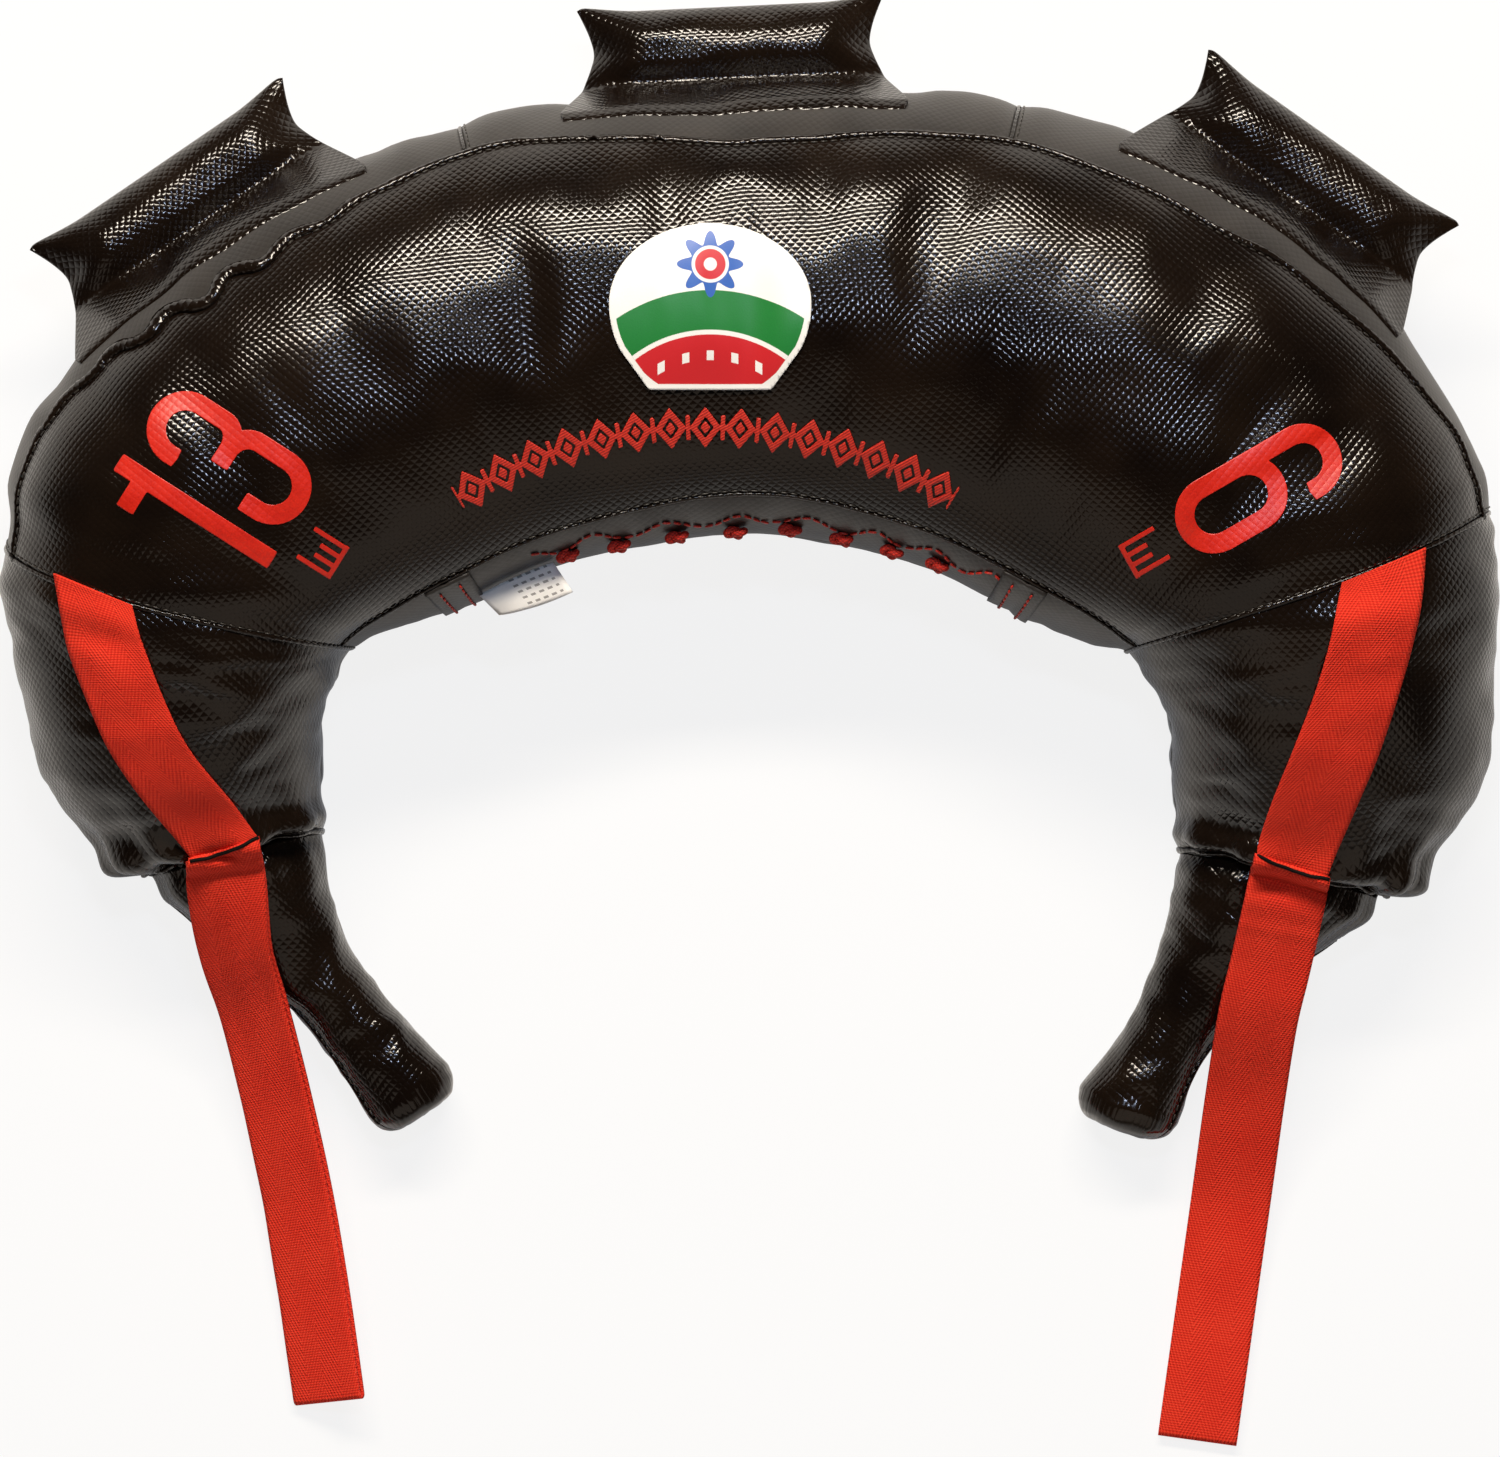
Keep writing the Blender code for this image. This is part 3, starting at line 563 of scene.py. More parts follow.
def finer(rows):
    """Twice as many rows along a grid, on a smooth curve through the old ones."""
    rows = np.asarray(rows, float)
    flat = spline(rows.reshape(len(rows), -1), np.linspace(0, len(rows) - 1, 2 * len(rows) - 1))
    return flat.reshape(-1, *rows.shape[1:])


# %% [markdown]
# Each panel becomes an object: subdivided once, thickened inward like the real cloth, and put in
# place of its CAD node. The horns carry on beyond the gathered wrists.

# %% Dress the panels and the horns
CLOTH = 0.0012
FLOOR_GAP = 0.0004


def thicken(made, wall, offset, subdivide=False, corners=False):
    """Turn an open surface into a closed sheet, subdivided first if wanted."""
    if subdivide:
        smooth = made.modifiers.new("smooth", "SUBSURF")
        smooth.levels = smooth.render_levels = 1
        smooth.boundary_smooth = "PRESERVE_CORNERS" if corners else "ALL"
    solid = made.modifiers.new("thick", "SOLIDIFY")
    solid.thickness, solid.offset = wall, offset
    bpy.context.view_layer.update()
    done = bpy.data.meshes.new_from_object(made.evaluated_get(bpy.context.evaluated_depsgraph_get()))
    done.name = made.data.name
    made.modifiers.clear()
    made.data = done
    return made


def stand_for(made, slot, *nodes, fill=None):
    """Put a made piece in place of its CAD nodes by hiding them; fill is not used."""
    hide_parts(*nodes)
    return made


def follow(made, body):
    """Let a piece ride on the bag, or else bake its place into its points."""
    if body == "bag":
        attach(made, body)
        return
    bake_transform(made)


skin = {}
for name, grid in zip(grids, solved):
    horn = "horn" in name
    _, cut, angles, stations = grids[name]
    if horn or "end" in name:
        grid, cut, angles, stations = (finer(part) for part in (grid, cut, angles, stations))
    rise = lumps(grid, 0.045, 3.0) * 0.0015 + lumps(grid, 0.018, 8.0) * 0.0005
    rise = rise * edge_share(*grid.shape[:2], 9) + gathers(stations, angles) + seam_folds(grid, stations)
    grid = grid + grid_normals(grid) * rise[..., None]
    grid[..., 2] = np.maximum(grid[..., 2], FLOOR_GAP)
    if horn and "left" in name:
        grid = np.concatenate([surface(-1, np.zeros(grid.shape[1]))[None], grid])
        cut = np.concatenate([cut[:1], cut])
    elif horn:
        grid = np.concatenate([grid, surface(LAST + 1, np.zeros(grid.shape[1]))[None]])
        cut = np.concatenate([cut, cut[-1:]])
    look = satin_side_painted_sheen_look if "gusset" in name or "flap" in name else skin_look
    made = mesh_object(name + "_skin", grid, grid_faces(*grid.shape[:2]), look, cut)
    thicken(made, CLOTH, -1.0, subdivide=True)
    follow(made, name[: name.index("_horn") + 5] if horn else "bag")
    skin[name] = stand_for(made, "black_tarpaulin", name, fill=0.85 if horn else 0.9)
print("panels and horn halves", len(skin))

# %% [markdown]
# Each handle is one piece of tarpaulin that comes up from the gusset, goes round a foam roll and
# back down, drawn taut like a tent. Its ends are sewn flat, and since a flattened tube is wider
# than a round one, the corners stand out as ears. It is lofted from one drawn profile,
# flattened toward both ends, because a solver would lose the ears.

# %% Lay points on the skin
def tree_of(objects):
    """Search tree over the faces of some objects at rest."""
    points, faces = [], []
    for made in objects:
        base = len(points)
        points.extend(tuple(made.matrix_world @ v.co) for v in made.data.vertices)
        faces.extend(tuple(base + v for v in f.vertices) for f in made.data.polygons)
    return BVHTree.FromPolygons(points, faces)


bpy.context.view_layer.update()
skin_tree = tree_of(skin.values())


def lay(point, outward, lift, ground=skin_tree):
    """The skin's point under this one, looking in along outward, lifted by this much."""
    outward = Vector(outward).normalized()
    hit = ground.ray_cast(Vector(point) + outward * 0.03, -outward, 0.06)[0]
    return (Vector(point) if hit is None else hit) + outward * lift


def lay_down(x, y, lift, ground=skin_tree):
    """The skin's highest point at a place on the floor plan, lifted by this much."""
    hit = ground.ray_cast(Vector((x, y, 0.2)), Vector((0, 0, -1)), 0.25)[0]
    return Vector((x, y, (0.0 if hit is None else hit.z) + lift))


def outward_at(s, angle):
    """Unit vector out of the section at s."""
    middle = surface(s, np.array([angle - 0.02, angle + 0.02]))
    step = Vector(middle[1] - middle[0])
    outer, inner, thick, _, _ = rib(s)
    across = Vector((*(outer - inner), 0)).normalized()
    way = Vector((across.y, -across.x, 0)).cross(step).normalized()
    centre = Vector((*((outer + inner) / 2), float(thick) * CENTRE_SHARE))
    return way if way.dot(Vector(surface(s, angle)) - centre) > 0 else -way


# %% Handles
HANDLES = {"left_handle": 8, "centre_handle": 9.95, "right_handle": 12}
SKIRT_LENGTH, ROLL_HALF = 0.130, 0.058
SLEEVE_GAP = 0.0014
# Distance out from the gusset of two points at the handle's middle height, worked out below and not used
# further
SLEEVE_BEND = (0.0048, 0.0145)
# Profile of the front half from the gusset to the crest: distance out from the gusset and height, in mm
PROFILE_MM = (
    (1.8, 13.8), (4.6, 9.8), (7.6, 11.2), (11.5, 13.2), (16.5, 13.7), (22.6, 12.3), (28.4, 8.2),
    (31.4, 3.4), (31.9, 0.0),
)
CREST = PROFILE_MM[-1][0]
# Rows of the skirt: share of the gusset's half width and lift over it; the first row is tucked under
SKIRT_STEPS = ((0.72, -0.0010), (0.68, 0.0007), (0.62, 0.0012), (0.55, 0.0015))
LOOPS, LOOP_POINTS, LOOP_CROWDING = 57, 84, math.pi / 2 * 0.82


def handle_frame(station):
    """Foot on the outer edge, unit vectors along and out, and the height of the middle."""
    outer, _, thick, _, _ = rib(station)
    way = rib(station + 0.5)[0] - rib(station - 0.5)[0]
    way = way / np.linalg.norm(way)
    return outer, way, np.array([-way[1], way[0]]), float(thick) * CENTRE_SHARE


def handle_line(station, u, seed):
    """One loop of the sleeve at share u of its half length, front base to back base."""
    foot, way, out, level = handle_frame(station)
    squeeze = min(max((abs(u) - 0.62) / 0.38, 0.0), 1.0)
    ear = squeeze**1.5
    worn = max(abs(u) - 0.955, 0.0) / 0.045
    fine = np.linspace(station - 1.6, station + 1.6, 200)
    s = float(np.interp(u * SKIRT_LENGTH / 2, (rib(fine)[0] - foot) @ way, fine))
    halves = []
    for side in (1, -1):
        half = []
        for share, lift in SKIRT_STEPS:
            angle = side * float(rib(s)[3]) * share
            half.append(lay(surface(s, angle), outward_at(s, angle), lift))
        for reach, height in PROFILE_MM:
            share = reach / CREST
            flat = 1.0 - (0.93 - 0.45 * max(1 - reach / 14, 0)) * squeeze**1.7
            beyond, below = max((reach - 17) / 14.9, 0), max((17 - reach) / 20, 0)
            waist = 0.0512 + 0.0050 * beyond**1.6 + 0.0085 * below**1.3 + 0.0015 * ear * share**2
            pull = 1.0 + (0.105 * share**2 - 0.02) * ear - 0.035 * worn**2
            spot = foot + way * (u * waist) + out * (reach * pull / 1000)
            wave = noise.noise(Vector((u * 3.0, reach * 0.09, seed + side * 5))) * 0.0011
            dent = noise.noise(Vector((u * 9.0, reach * 0.16, seed * 2 + side * 3))) * 0.0009
            wave = (wave + dent * (0.35 + squeeze)) * min(height / 8, 1) * (0.5 + flat / 2)
            rise = side * (height / 1000 * flat + wave)
            half.append(Vector((spot[0], spot[1], level + rise)))
        halves.append(half)
    front, back = halves
    return np.array([tuple(p) for p in front + back[:-1][::-1]])


def clear_of_skin(path, out):
    """Push a loop of the sleeve off the gusset wherever the filling would bulge through it."""
    for k in range(4, len(path) - 4):
        hit = skin_tree.ray_cast(Vector(path[k]) + out * 0.03, -out, 0.06)[0]
        if hit is not None and (Vector(path[k]) - hit).dot(out) < SLEEVE_GAP:
            path[k] = hit + out * SLEEVE_GAP
    return path


def resample(path, count):
    """This many points, evenly spaced along a smooth curve through a path."""
    fine = spline(path, np.linspace(0, len(path) - 1, 12 * len(path)))
    run = run_along(fine)
    where = np.linspace(0, run[-1], count)
    return np.stack([np.interp(where, run, fine[:, k]) for k in range(3)], -1), where - run[-1] / 2


for seed, (name, station) in enumerate(HANDLES.items()):
    foot, _, out, level = handle_frame(station)
    grid, cuts = [], []
    for u in np.sin(np.linspace(-1, 1, LOOPS) * LOOP_CROWDING) / math.sin(LOOP_CROWDING):
        line, run = resample(handle_line(station, float(u), 11.0 + seed * 7), LOOP_POINTS)
        grid.append(clear_of_skin(line, Vector((*out, 0.0)))[::-1])
        cuts.append(np.stack([np.full(len(run), u * ROLL_HALF), run], -1)[::-1])
    made = mesh_object(name + "_sleeve_skin", grid, grid_faces(LOOPS, LOOP_POINTS), skin_look, cuts)
    thicken(made, CLOTH, -1.0, subdivide=True)
    start, end = ((*(foot + out * reach), level) for reach in SLEEVE_BEND)
    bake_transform(made)
    nodes = (name + part for part in ("_sleeve", "_skirt_front", "_skirt_back", "_stitching"))
    stand_for(made, "black_tarpaulin", *nodes, fill=0.8)
print("handles", len(HANDLES))

# %% [markdown]
# Cords, seam lips and stitches are all rings of points joined into a closed tube. A round cord
# carries its frame along from ring to ring, so that it doesn't twist.

# %% Round cords
def cord_rings(path, radius, sides=8):
    """Rings of a round cord along a path, and their flat cut."""
    path = [Vector(p) for p in path]
    rings, cuts, run = [], [], 0.0
    side = None
    for k, point in enumerate(path):
        ahead = (path[min(k + 1, len(path) - 1)] - path[max(k - 1, 0)]).normalized()
        side = ahead.orthogonal() if side is None else side - ahead * side.dot(ahead)
        side.normalize()
        up = ahead.cross(side)
        run += (path[k] - path[k - 1]).length if k else 0.0
        turns = np.arange(sides) * 2 * math.pi / sides
        rings.append([tuple(point + side * math.cos(t) * radius + up * math.sin(t) * radius) for t in turns])
        cuts.extend((run, t * radius) for t in turns)
    return rings, cuts


def tube(rings, base=0):
    """Points of some rings and the faces that join them into a closed tube."""
    sides, last = len(rings[0]), base + (len(rings) - 1) * len(rings[0])
    around = ((0, 0), (0, 1), (1, 1), (1, 0))
    faces = [
        tuple(base + (i + row) * sides + (k + column) % sides for row, column in around)
        for i in range(len(rings) - 1) for k in range(sides)
    ]
    faces.append(tuple(base + k for k in reversed(range(sides))))
    faces.append(tuple(last + k for k in range(sides)))
    return [p for ring in rings for p in ring], faces


def cord_mesh(name, paths, radius, look):
    """Several lengths of round cord as one mesh with closed ends."""
    points, cuts, faces = [], [], []
    for path in paths:
        rings, cut = cord_rings(path, radius)
        more, joined = tube(rings, len(points))
        points, faces, cuts = points + more, faces + joined, cuts + cut
    return mesh_object(name, points, faces, look, cuts)


print("cord helpers ready")

# %% [markdown]
# Bonded nylon thread holds the panels together in long lock stitches. Each stitch is a small
# rounded bead that presses into the cloth, so it is laid on the finished skin as geometry: one
# six sided bead, repeated along a row and turned to follow it.

# %% Thread
def thread_look(name, swatch, dark, rough, glint=0.5):
    """Twisted thread, painted a little darker where its relief is low, as shade between its plies."""

    def draw(tree):
        coords = add(tree, "TexCoord").outputs["Object"]
        plies = add(tree, "TexNoise", coords, Scale=1800.0, Detail=2.0)
        # The colour follows the relief: painted shade between the plies
        colour = add(tree, "ValToRGB", plies, stops=((0.35, dark), (0.65, swatch)))
        return {"Base Color": colour, "Height": plies}

    return material(name, draw, 0.4, 0.0002, Roughness=rough, Specular_IOR_Level=glint)


black_thread = thread_look("bonded nylon thread, black", "#3a352f", "#15120f", 0.3)
red_thread = thread_look("bonded nylon thread, red", "#e2301e", "#9c180e", 0.5)
wrist_thread = thread_look("waxed nylon thread, black", "#14100d", "#080605", 0.75, 0.12)

# A bead from end to end: place along it and width
BEAD_PROFILE = ((-0.5, 0.25), (-0.36, 0.9), (0.0, 1.0), (0.36, 0.9), (0.5, 0.25))
BEAD, BEAD_FACES = tube([
    [(along, width / 2 * math.cos(turn), width / 2 * math.sin(turn)) for turn in np.arange(6) * math.pi / 3]
    for along, width in BEAD_PROFILE
])


def stitches(
    name, path, look, body="bag", length=0.0026, pitch=0.0036, width=0.0007, sunk=0.15, ground=skin_tree
):
    """Row of beads along a path, laid on the skin."""
    path = np.array([tuple(p) for p in path])
    run = run_along(path)
    count = max(int(run[-1] / pitch), 1)
    points, faces = [], []
    for k in range(count):
        middle = (k + 0.5) * run[-1] / count
        ends = (middle + d for d in (-length / 2, 0, length / 2))
        a, b, c = (Vector([np.interp(at, run, path[:, i]) for i in range(3)]) for at in ends)
        way = (c - a).normalized()
        b, up, _, _ = ground.find_nearest(b)
        up = (up - way * up.dot(way)).normalized()
        b = b + up * width * (0.5 - sunk)
        way = (way + way.cross(up) * noise.noise(Vector((k * 3.1, 2.0, run[-1]))) * 0.25).normalized()
        axes = np.array([tuple(way), tuple(way.cross(up)), tuple(up)])
        faces.extend(tuple(k * len(BEAD) + v for v in face) for face in BEAD_FACES)
        points.append((np.array(BEAD) * (length, width, width)) @ axes + np.array(b))
    follow(mesh_object(name, np.concatenate(points), faces, look), body)


def seam_path(start, end, angle, count=240):
    """Points just outside a seam, at angle(s) round each section."""
    return [surface(s, angle(s), -0.003) for s in np.linspace(start, end, count)]


def arc_step(s, angle, distance):
    """Angle that lies this far along the section from another angle."""
    a, b = surface(s, np.array([angle, angle + 0.01]))
    return angle + distance * 0.01 / float(np.linalg.norm(b - a))


# %% [markdown]
# Along the front the panel's edge is turned under and topstitched, and stands up as a narrow
# lip. The lip is a thin roll of the same cloth that lies on the seam, wandering with it.

# %% Seam lips and stitch rows
def lip(name, path, radius, body="bag"):
    """Thin turned edge of cloth along a seam, as thick as radius or as radius(share of the way)."""
    rings, cuts, run = [], [], 0.0
    path = [Vector(p) for p in path]
    turns = np.arange(8) * math.pi / 4
    for k, point in enumerate(path):
        ahead = (path[min(k + 1, len(path) - 1)] - path[max(k - 1, 0)]).normalized()
        place, up, _, _ = skin_tree.find_nearest(point)
        up = (up - ahead * up.dot(ahead)).normalized()
        side = ahead.cross(up)
        run += (path[k] - path[k - 1]).length if k else 0.0
        size = radius(k / len(path)) if callable(radius) else radius
        size *= 1 + 0.25 * noise.noise(Vector((run * 90, 3.0, 1.0)))
        centre = place + up * size * 0.3
        ring = [centre + side * math.cos(t) * size * 1.25 + up * math.sin(t) * size * 0.8 for t in turns]
        rings.append([(p.x, p.y, max(p.z, 0.0003)) for p in ring])
        cuts.append([(run, t * size) for t in turns])
    made = mesh_object(name, *tube(rings), skin_look, cuts)
    follow(made, body)


def swollen_lip(share):
    """Radius of the front lip, which stands up most above the left handle's end."""
    return 0.0012 + 0.0013 * math.exp(-(((share - 0.22) / 0.09) ** 2))


# Seam, points along it, lip radius, and the place of the stitches beside it with their width
SEAM_LINES = {
    "front_outer": (outer_seam, 420, swollen_lip, 0.0021, 0.0007),
    "front_inner": (inner_seam, 300, 0.0007, -0.0018, 0.0006),
    "back_outer": (back_outer, 300, 0.0009, -0.0021, 0.0007),
    "back_inner": (back_inner, 300, 0.0007, 0.0018, 0.0007),
}
for name, (seam, count, radius, _, _) in SEAM_LINES.items():
    lip(name + "_lip", seam_path(LEFT_CROSS, RIGHT_CROSS, seam, count), radius)
for name, (seam, _, _, beside, width) in SEAM_LINES.items():
    path = seam_path(LEFT_CROSS + 0.03, RIGHT_CROSS - 0.03, lambda s: arc_step(s, seam(s), beside))
    stitches(name + "_stitches", path, black_thread, width=width)

# On each side come the cross seam with its stitches a little further in, gusset, wrist and horn seam
around = np.linspace(0, 2 * math.pi, 260)
for side, cross, beside in (("left", LEFT_CROSS, 0.045), ("right", RIGHT_CROSS, -0.045)):
    lip(side + "_cross_lip", surface(cross, around[:-1]), 0.0008)
    stitches(side + "_cross_stitches", surface(cross + beside, around), black_thread)
for side, joint in (("left", LEFT_JOIN), ("right", RIGHT_JOIN)):
    angles = np.linspace(under_outer(joint), outer_seam(joint), 60)
    lip(side + "_gusset_lip", surface(joint, angles), 0.0006)
    stitches(side + "_gusset_stitches", surface(joint + 0.02, angles), black_thread, width=0.0006)
for side, wrist in (("left", LEFT_WRIST), ("right", RIGHT_WRIST)):
    lip(side + "_wrist_lip", surface(wrist, np.linspace(0, 2 * math.pi, 200)[:-1]), 0.0010)
for side, rows in HORN_ROWS.items():
    stations = np.linspace(max(rows[0], -0.3), min(rows[-1], LAST + 0.3), 120)
    near = [surface(s, horn_seam(s)) for s in stations]
    beside = [surface(s, arc_step(s, horn_seam(s), 0.0022)) for s in stations]
    near, beside = (near[:-8], beside[:-10]) if side == "left" else (near[8:], beside[10:])
    lip(side + "_horn_lip", near, 0.0009, side + "_horn")
    stitches(side + "_horn_stitches", beside, black_thread, side + "_horn")
print("seam lips and stitch rows done")

# %% [markdown]
# The straps are 30 mm polyester webbing in a herringbone weave: the ribs slant one way for a
# quarter of the width and then the other. The slant shows as fine ribs with a zigzag, so the
# pattern folds the place across the strap back and forth before it slants it along the strap.

# %% Red webbing
WEB_WIDTH, WEB_THICK, LOOP_GAP = 0.030, 0.0013, 0.0012
RIB_PITCH, BAND_WIDTH, RIB_SLOPE, PICK_SHARE = 0.0012, 0.0075, 2.2, 0.8
ACROSS = np.linspace(-1, 1, 9)
HALF_ACROSS = ACROSS * WEB_WIDTH / 2


def webbing(tree):
    """Red herringbone with a dull sheen, its colour painted darker in the grooves and lighter on the ribs as
    shade and highlight, over a random tone.
    """
    coords = add(tree, "UVMap", uv_map="flat cut")
    across, along = add(tree, "SeparateXYZ", coords).outputs[:2]
    slant = add(tree, "Math MULTIPLY_ADD", add(tree, "Math PINGPONG", across, BAND_WIDTH), RIB_SLOPE, along)
    ribs = add(tree, "Math MULTIPLY", slant, 2 * math.pi / (RIB_PITCH * math.hypot(1, RIB_SLOPE)))
    picks = add(tree, "Math MULTIPLY", along, 2 * math.pi / (RIB_PITCH * PICK_SHARE))
    picks = add(tree, "Math MULTIPLY_ADD", add(tree, "Math SINE", picks), 0.20, 0.5)
    height = add(tree, "Math MULTIPLY_ADD", add(tree, "Math SINE", ribs), 0.30, picks)
    fuzz = add(tree, "TexNoise", coords, Scale=1400.0, Detail=3.0)
    height = add(tree, "Math MULTIPLY_ADD", fuzz, 0.35, height)
    tone = add(tree, "TexNoise", coords, Scale=55.0, Detail=3.0)
    # The colour follows the height: painted shade in the grooves and painted highlight on the ribs, mixed
    # with a random tone
    painted_rib_shade_and_tone = add(tree, "Math MULTIPLY_ADD", height, 0.55, add(tree, "Math MULTIPLY_ADD", tone, 0.3, 0.05))
    stops = (0.15, "#bb180d"), (0.5, "#e02a15"), (0.9, "#f5472b")
    return {"Base Color": add(tree, "ValToRGB", painted_rib_shade_and_tone, stops=stops), "Height": height}


web_look = material(
    "polyester webbing, herringbone woven", webbing, 0.7, 0.0004, Roughness=0.85, Specular_IOR_Level=0.3
)

# Edges of each sewn down run from the cross seam to the wrist, as shares of the width from the middle
STRAP_EDGE_SHARES = {
    "left": (
        (
            (-0.4588, 0.1024), (-0.4541, 0.0756), (-0.4495, 0.0522), (-0.4374, 0.0187),
            (-0.4234, -0.0147), (-0.4020, -0.0482), (-0.3819, -0.0743), (-0.3724, -0.0884),
        ),
        (
            (-0.4066, 0.0810), (-0.4020, 0.0622), (-0.3986, 0.0522), (-0.3865, 0.0187),
            (-0.3705, -0.0147), (-0.3450, -0.0482), (-0.3303, -0.0696), (-0.3270, -0.0736),
        ),
    ),
    "right": (
        (
            (0.3899, 0.0957), (0.3879, 0.0857), (0.3812, 0.0522), (0.3718, 0.0187),
            (0.3598, -0.0147), (0.3477, -0.0482), (0.3397, -0.0756), (0.3384, -0.0850),
        ),
        (
            (0.4454, 0.1191), (0.4428, 0.0857), (0.4361, 0.0522), (0.4274, 0.0187),
            (0.4173, -0.0147), (0.4046, -0.0482), (0.3919, -0.0816), (0.3852, -0.1017),
        ),
    ),
}


def strip_object(name, rows, wall):
    """Strap through rows of points, with its flat cut across and along, and how long it runs."""
    rows = np.array(rows)
    run = run_along(rows[:, rows.shape[1] // 2])
    cut = np.stack(np.meshgrid(HALF_ACROSS, run), -1)
    made = mesh_object(name, rows, grid_faces(*rows.shape[:2]), web_look, cut)
    return thicken(made, wall, 1.0, subdivide=True, corners=True), float(run[-1])


webs = {}
for side, (left, right) in STRAP_EDGE_SHARES.items():
    at = np.linspace(0, len(left) - 1, 44)
    rows = []
    for p, q in zip(spline(left, at) * BAG_WIDTH, spline(right, at) * BAG_WIDTH):
        line = [p * (1 - w) / 2 + q * (1 + w) / 2 for w in ACROSS]
        rows.append([tuple(lay_down(x, y, 0.0005)) for x, y in line])
    rows = np.array(rows)
    stiff = rows[:, :, 2].copy()
    for _ in range(6):
        stiff[1:-1] = np.maximum((stiff[:-2] + stiff[1:-1] * 2 + stiff[2:]) / 4, rows[1:-1, :, 2])
        level = (stiff[:, :-2] + stiff[:, 1:-1] * 2 + stiff[:, 2:]) / 4
        stiff[:, 1:-1] = np.maximum(level, rows[:, 1:-1, 2])
    rows[:, :, 2] = stiff
    made, run = strip_object(side + "_strap_webbing", rows[:, ::-1], WEB_THICK)
    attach(made, "bag")
    stand_for(made, "red_webbing", side + "_strap")
    webs[side] = [made]
    print(side, "strap run", round(run * 1000), "mm")

# %% [markdown]
# Below each wrist the strap is a flat loop: webbing down, round and back up, long enough for a
# hand. It hangs from the wrist seam.

# %% Strap loops
# Middle line from the wrist down: place and height as shares of the width, and tilt in degrees
LOOP_SHARES = {
    "left": (
        (-0.3512, -0.0825, 0.1130, -4), (-0.350, -0.105, 0.1060, -8), (-0.345, -0.150, 0.0800, -27),
        (-0.334, -0.190, 0.0550, -33), (-0.320, -0.249, 0.0360, -33), (-0.306, -0.316, 0.0240, -32),
        (-0.295, -0.383, 0.0190, -31), (-0.285, -0.453, 0.0182, -31),
    ),
    "right": (
        (0.3625, -0.0945, 0.1120, 3), (0.358, -0.118, 0.1040, 4), (0.350, -0.158, 0.0870, 4),
        (0.342, -0.195, 0.0715, 4), (0.335, -0.249, 0.0400, 3), (0.327, -0.316, 0.0140, 1),
        (0.318, -0.383, 0.0060, 0), (0.3045, -0.480, 0.0050, 0),
    ),
}
# Ends of the line across each wrist, where strap and loop meet
WRIST_LINES = {
    "left": ((-0.3733, -0.0890), (-0.3275, -0.0730)),
    "right": ((0.3368, -0.0840), (0.3870, -0.1012)),
}
# Where each loop begins to lift, and the way it runs on the floor plan
LOOP_ENDS = {
    "left": ((-0.1985, -0.0526, 0.0616), (0.1843, -0.9829)),
    "right": ((0.2019, -0.0599, 0.0614), (-0.2095, -0.9778)),
}
LOOP_ROWS, LAID_ROWS, LOOP_BEND = 64, 14, 0.012
for side, shares in LOOP_SHARES.items():
    path = spline(shares, np.linspace(0, len(shares) - 1, LOOP_ROWS))
    path[:, :3] *= BAG_WIDTH
    ahead = np.gradient(path[:, :3], axis=0)
    lower, upper = [], []
    for k, (x, y, z, tilt) in enumerate(path):
        step = np.array([ahead[k][1], -ahead[k][0]]) / np.linalg.norm(ahead[k][:2])
        lean = math.radians(tilt)
        across = np.array([step[0] * math.cos(lean), step[1] * math.cos(lean), math.sin(lean)])
        up = np.cross(across, ahead[k])
        up = up / np.linalg.norm(up) * (1 if up[2] > 0 else -1)
        ripple = abs(noise.noise(Vector((k * 0.11, 4.0 if side == "left" else 9.0, 0)))) * 0.0007
        pinch = min(0.12 + k / 7, 1.0)
        line = np.array([x, y, z]) + across * HALF_ACROSS[:, None]
        turn = max(1 - k / 9, 0.0) ** 1.5
        left, right = np.array(WRIST_LINES[side]) * BAG_WIDTH
        edge = np.array([(right * (1 - w) + left * (1 + w)) / 2 for w in ACROSS])
        edge = edge + (np.array([x, y]) - edge.mean(axis=0)) * (1 - turn)
        line[:, :2] = line[:, :2] * (1 - turn) + edge * turn
        if k < LAID_ROWS:
            under = [max(lay_down(p[0], p[1] + d, 0.0).z for d in (-0.002, 0.0, 0.002)) for p in line]
            under = np.array(under) + 0.0003 + LOOP_GAP / 2 * pinch + WEB_THICK
            slope = across[2] * HALF_ACROSS
            stiff = max(float((under - slope).max()), z) + slope
            share = min(k / 6, 1.0)
            line[:, 2] = np.maximum(stiff, under) * share + under * (1 - share) - 0.0016 * (1 - pinch)
        lower.append(line - up * LOOP_GAP / 2 * pinch)
        upper.append(line + up * (LOOP_GAP / 2 * pinch + 0.0002 + ripple))
    end = ahead[-1] / np.linalg.norm(ahead[-1])
    bend = [
        lower[-1] + (upper[-1] - lower[-1]) * (1 - math.cos(t)) / 2 + end * math.sin(t) * LOOP_GAP * 0.8
        for t in (0.5, 1.0, 1.57, 2.1, 2.6)
    ]
    made, run = strip_object(side + "_loop_webbing", lower + bend + upper[::-1], -WEB_THICK)
    (x, y, z), way = LOOP_ENDS[side]
    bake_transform(made)
    stand_for(made, "red_webbing", side + "_loop")
    webs[side].append(made)
    print(side, "loop webbing", round(run * 1000), "mm")

# %% [markdown]
# Where strap and loop meet, one row of heavy black thread goes through both and through the wrist
# seam. It sinks into the webbing and sags a little between its ends.

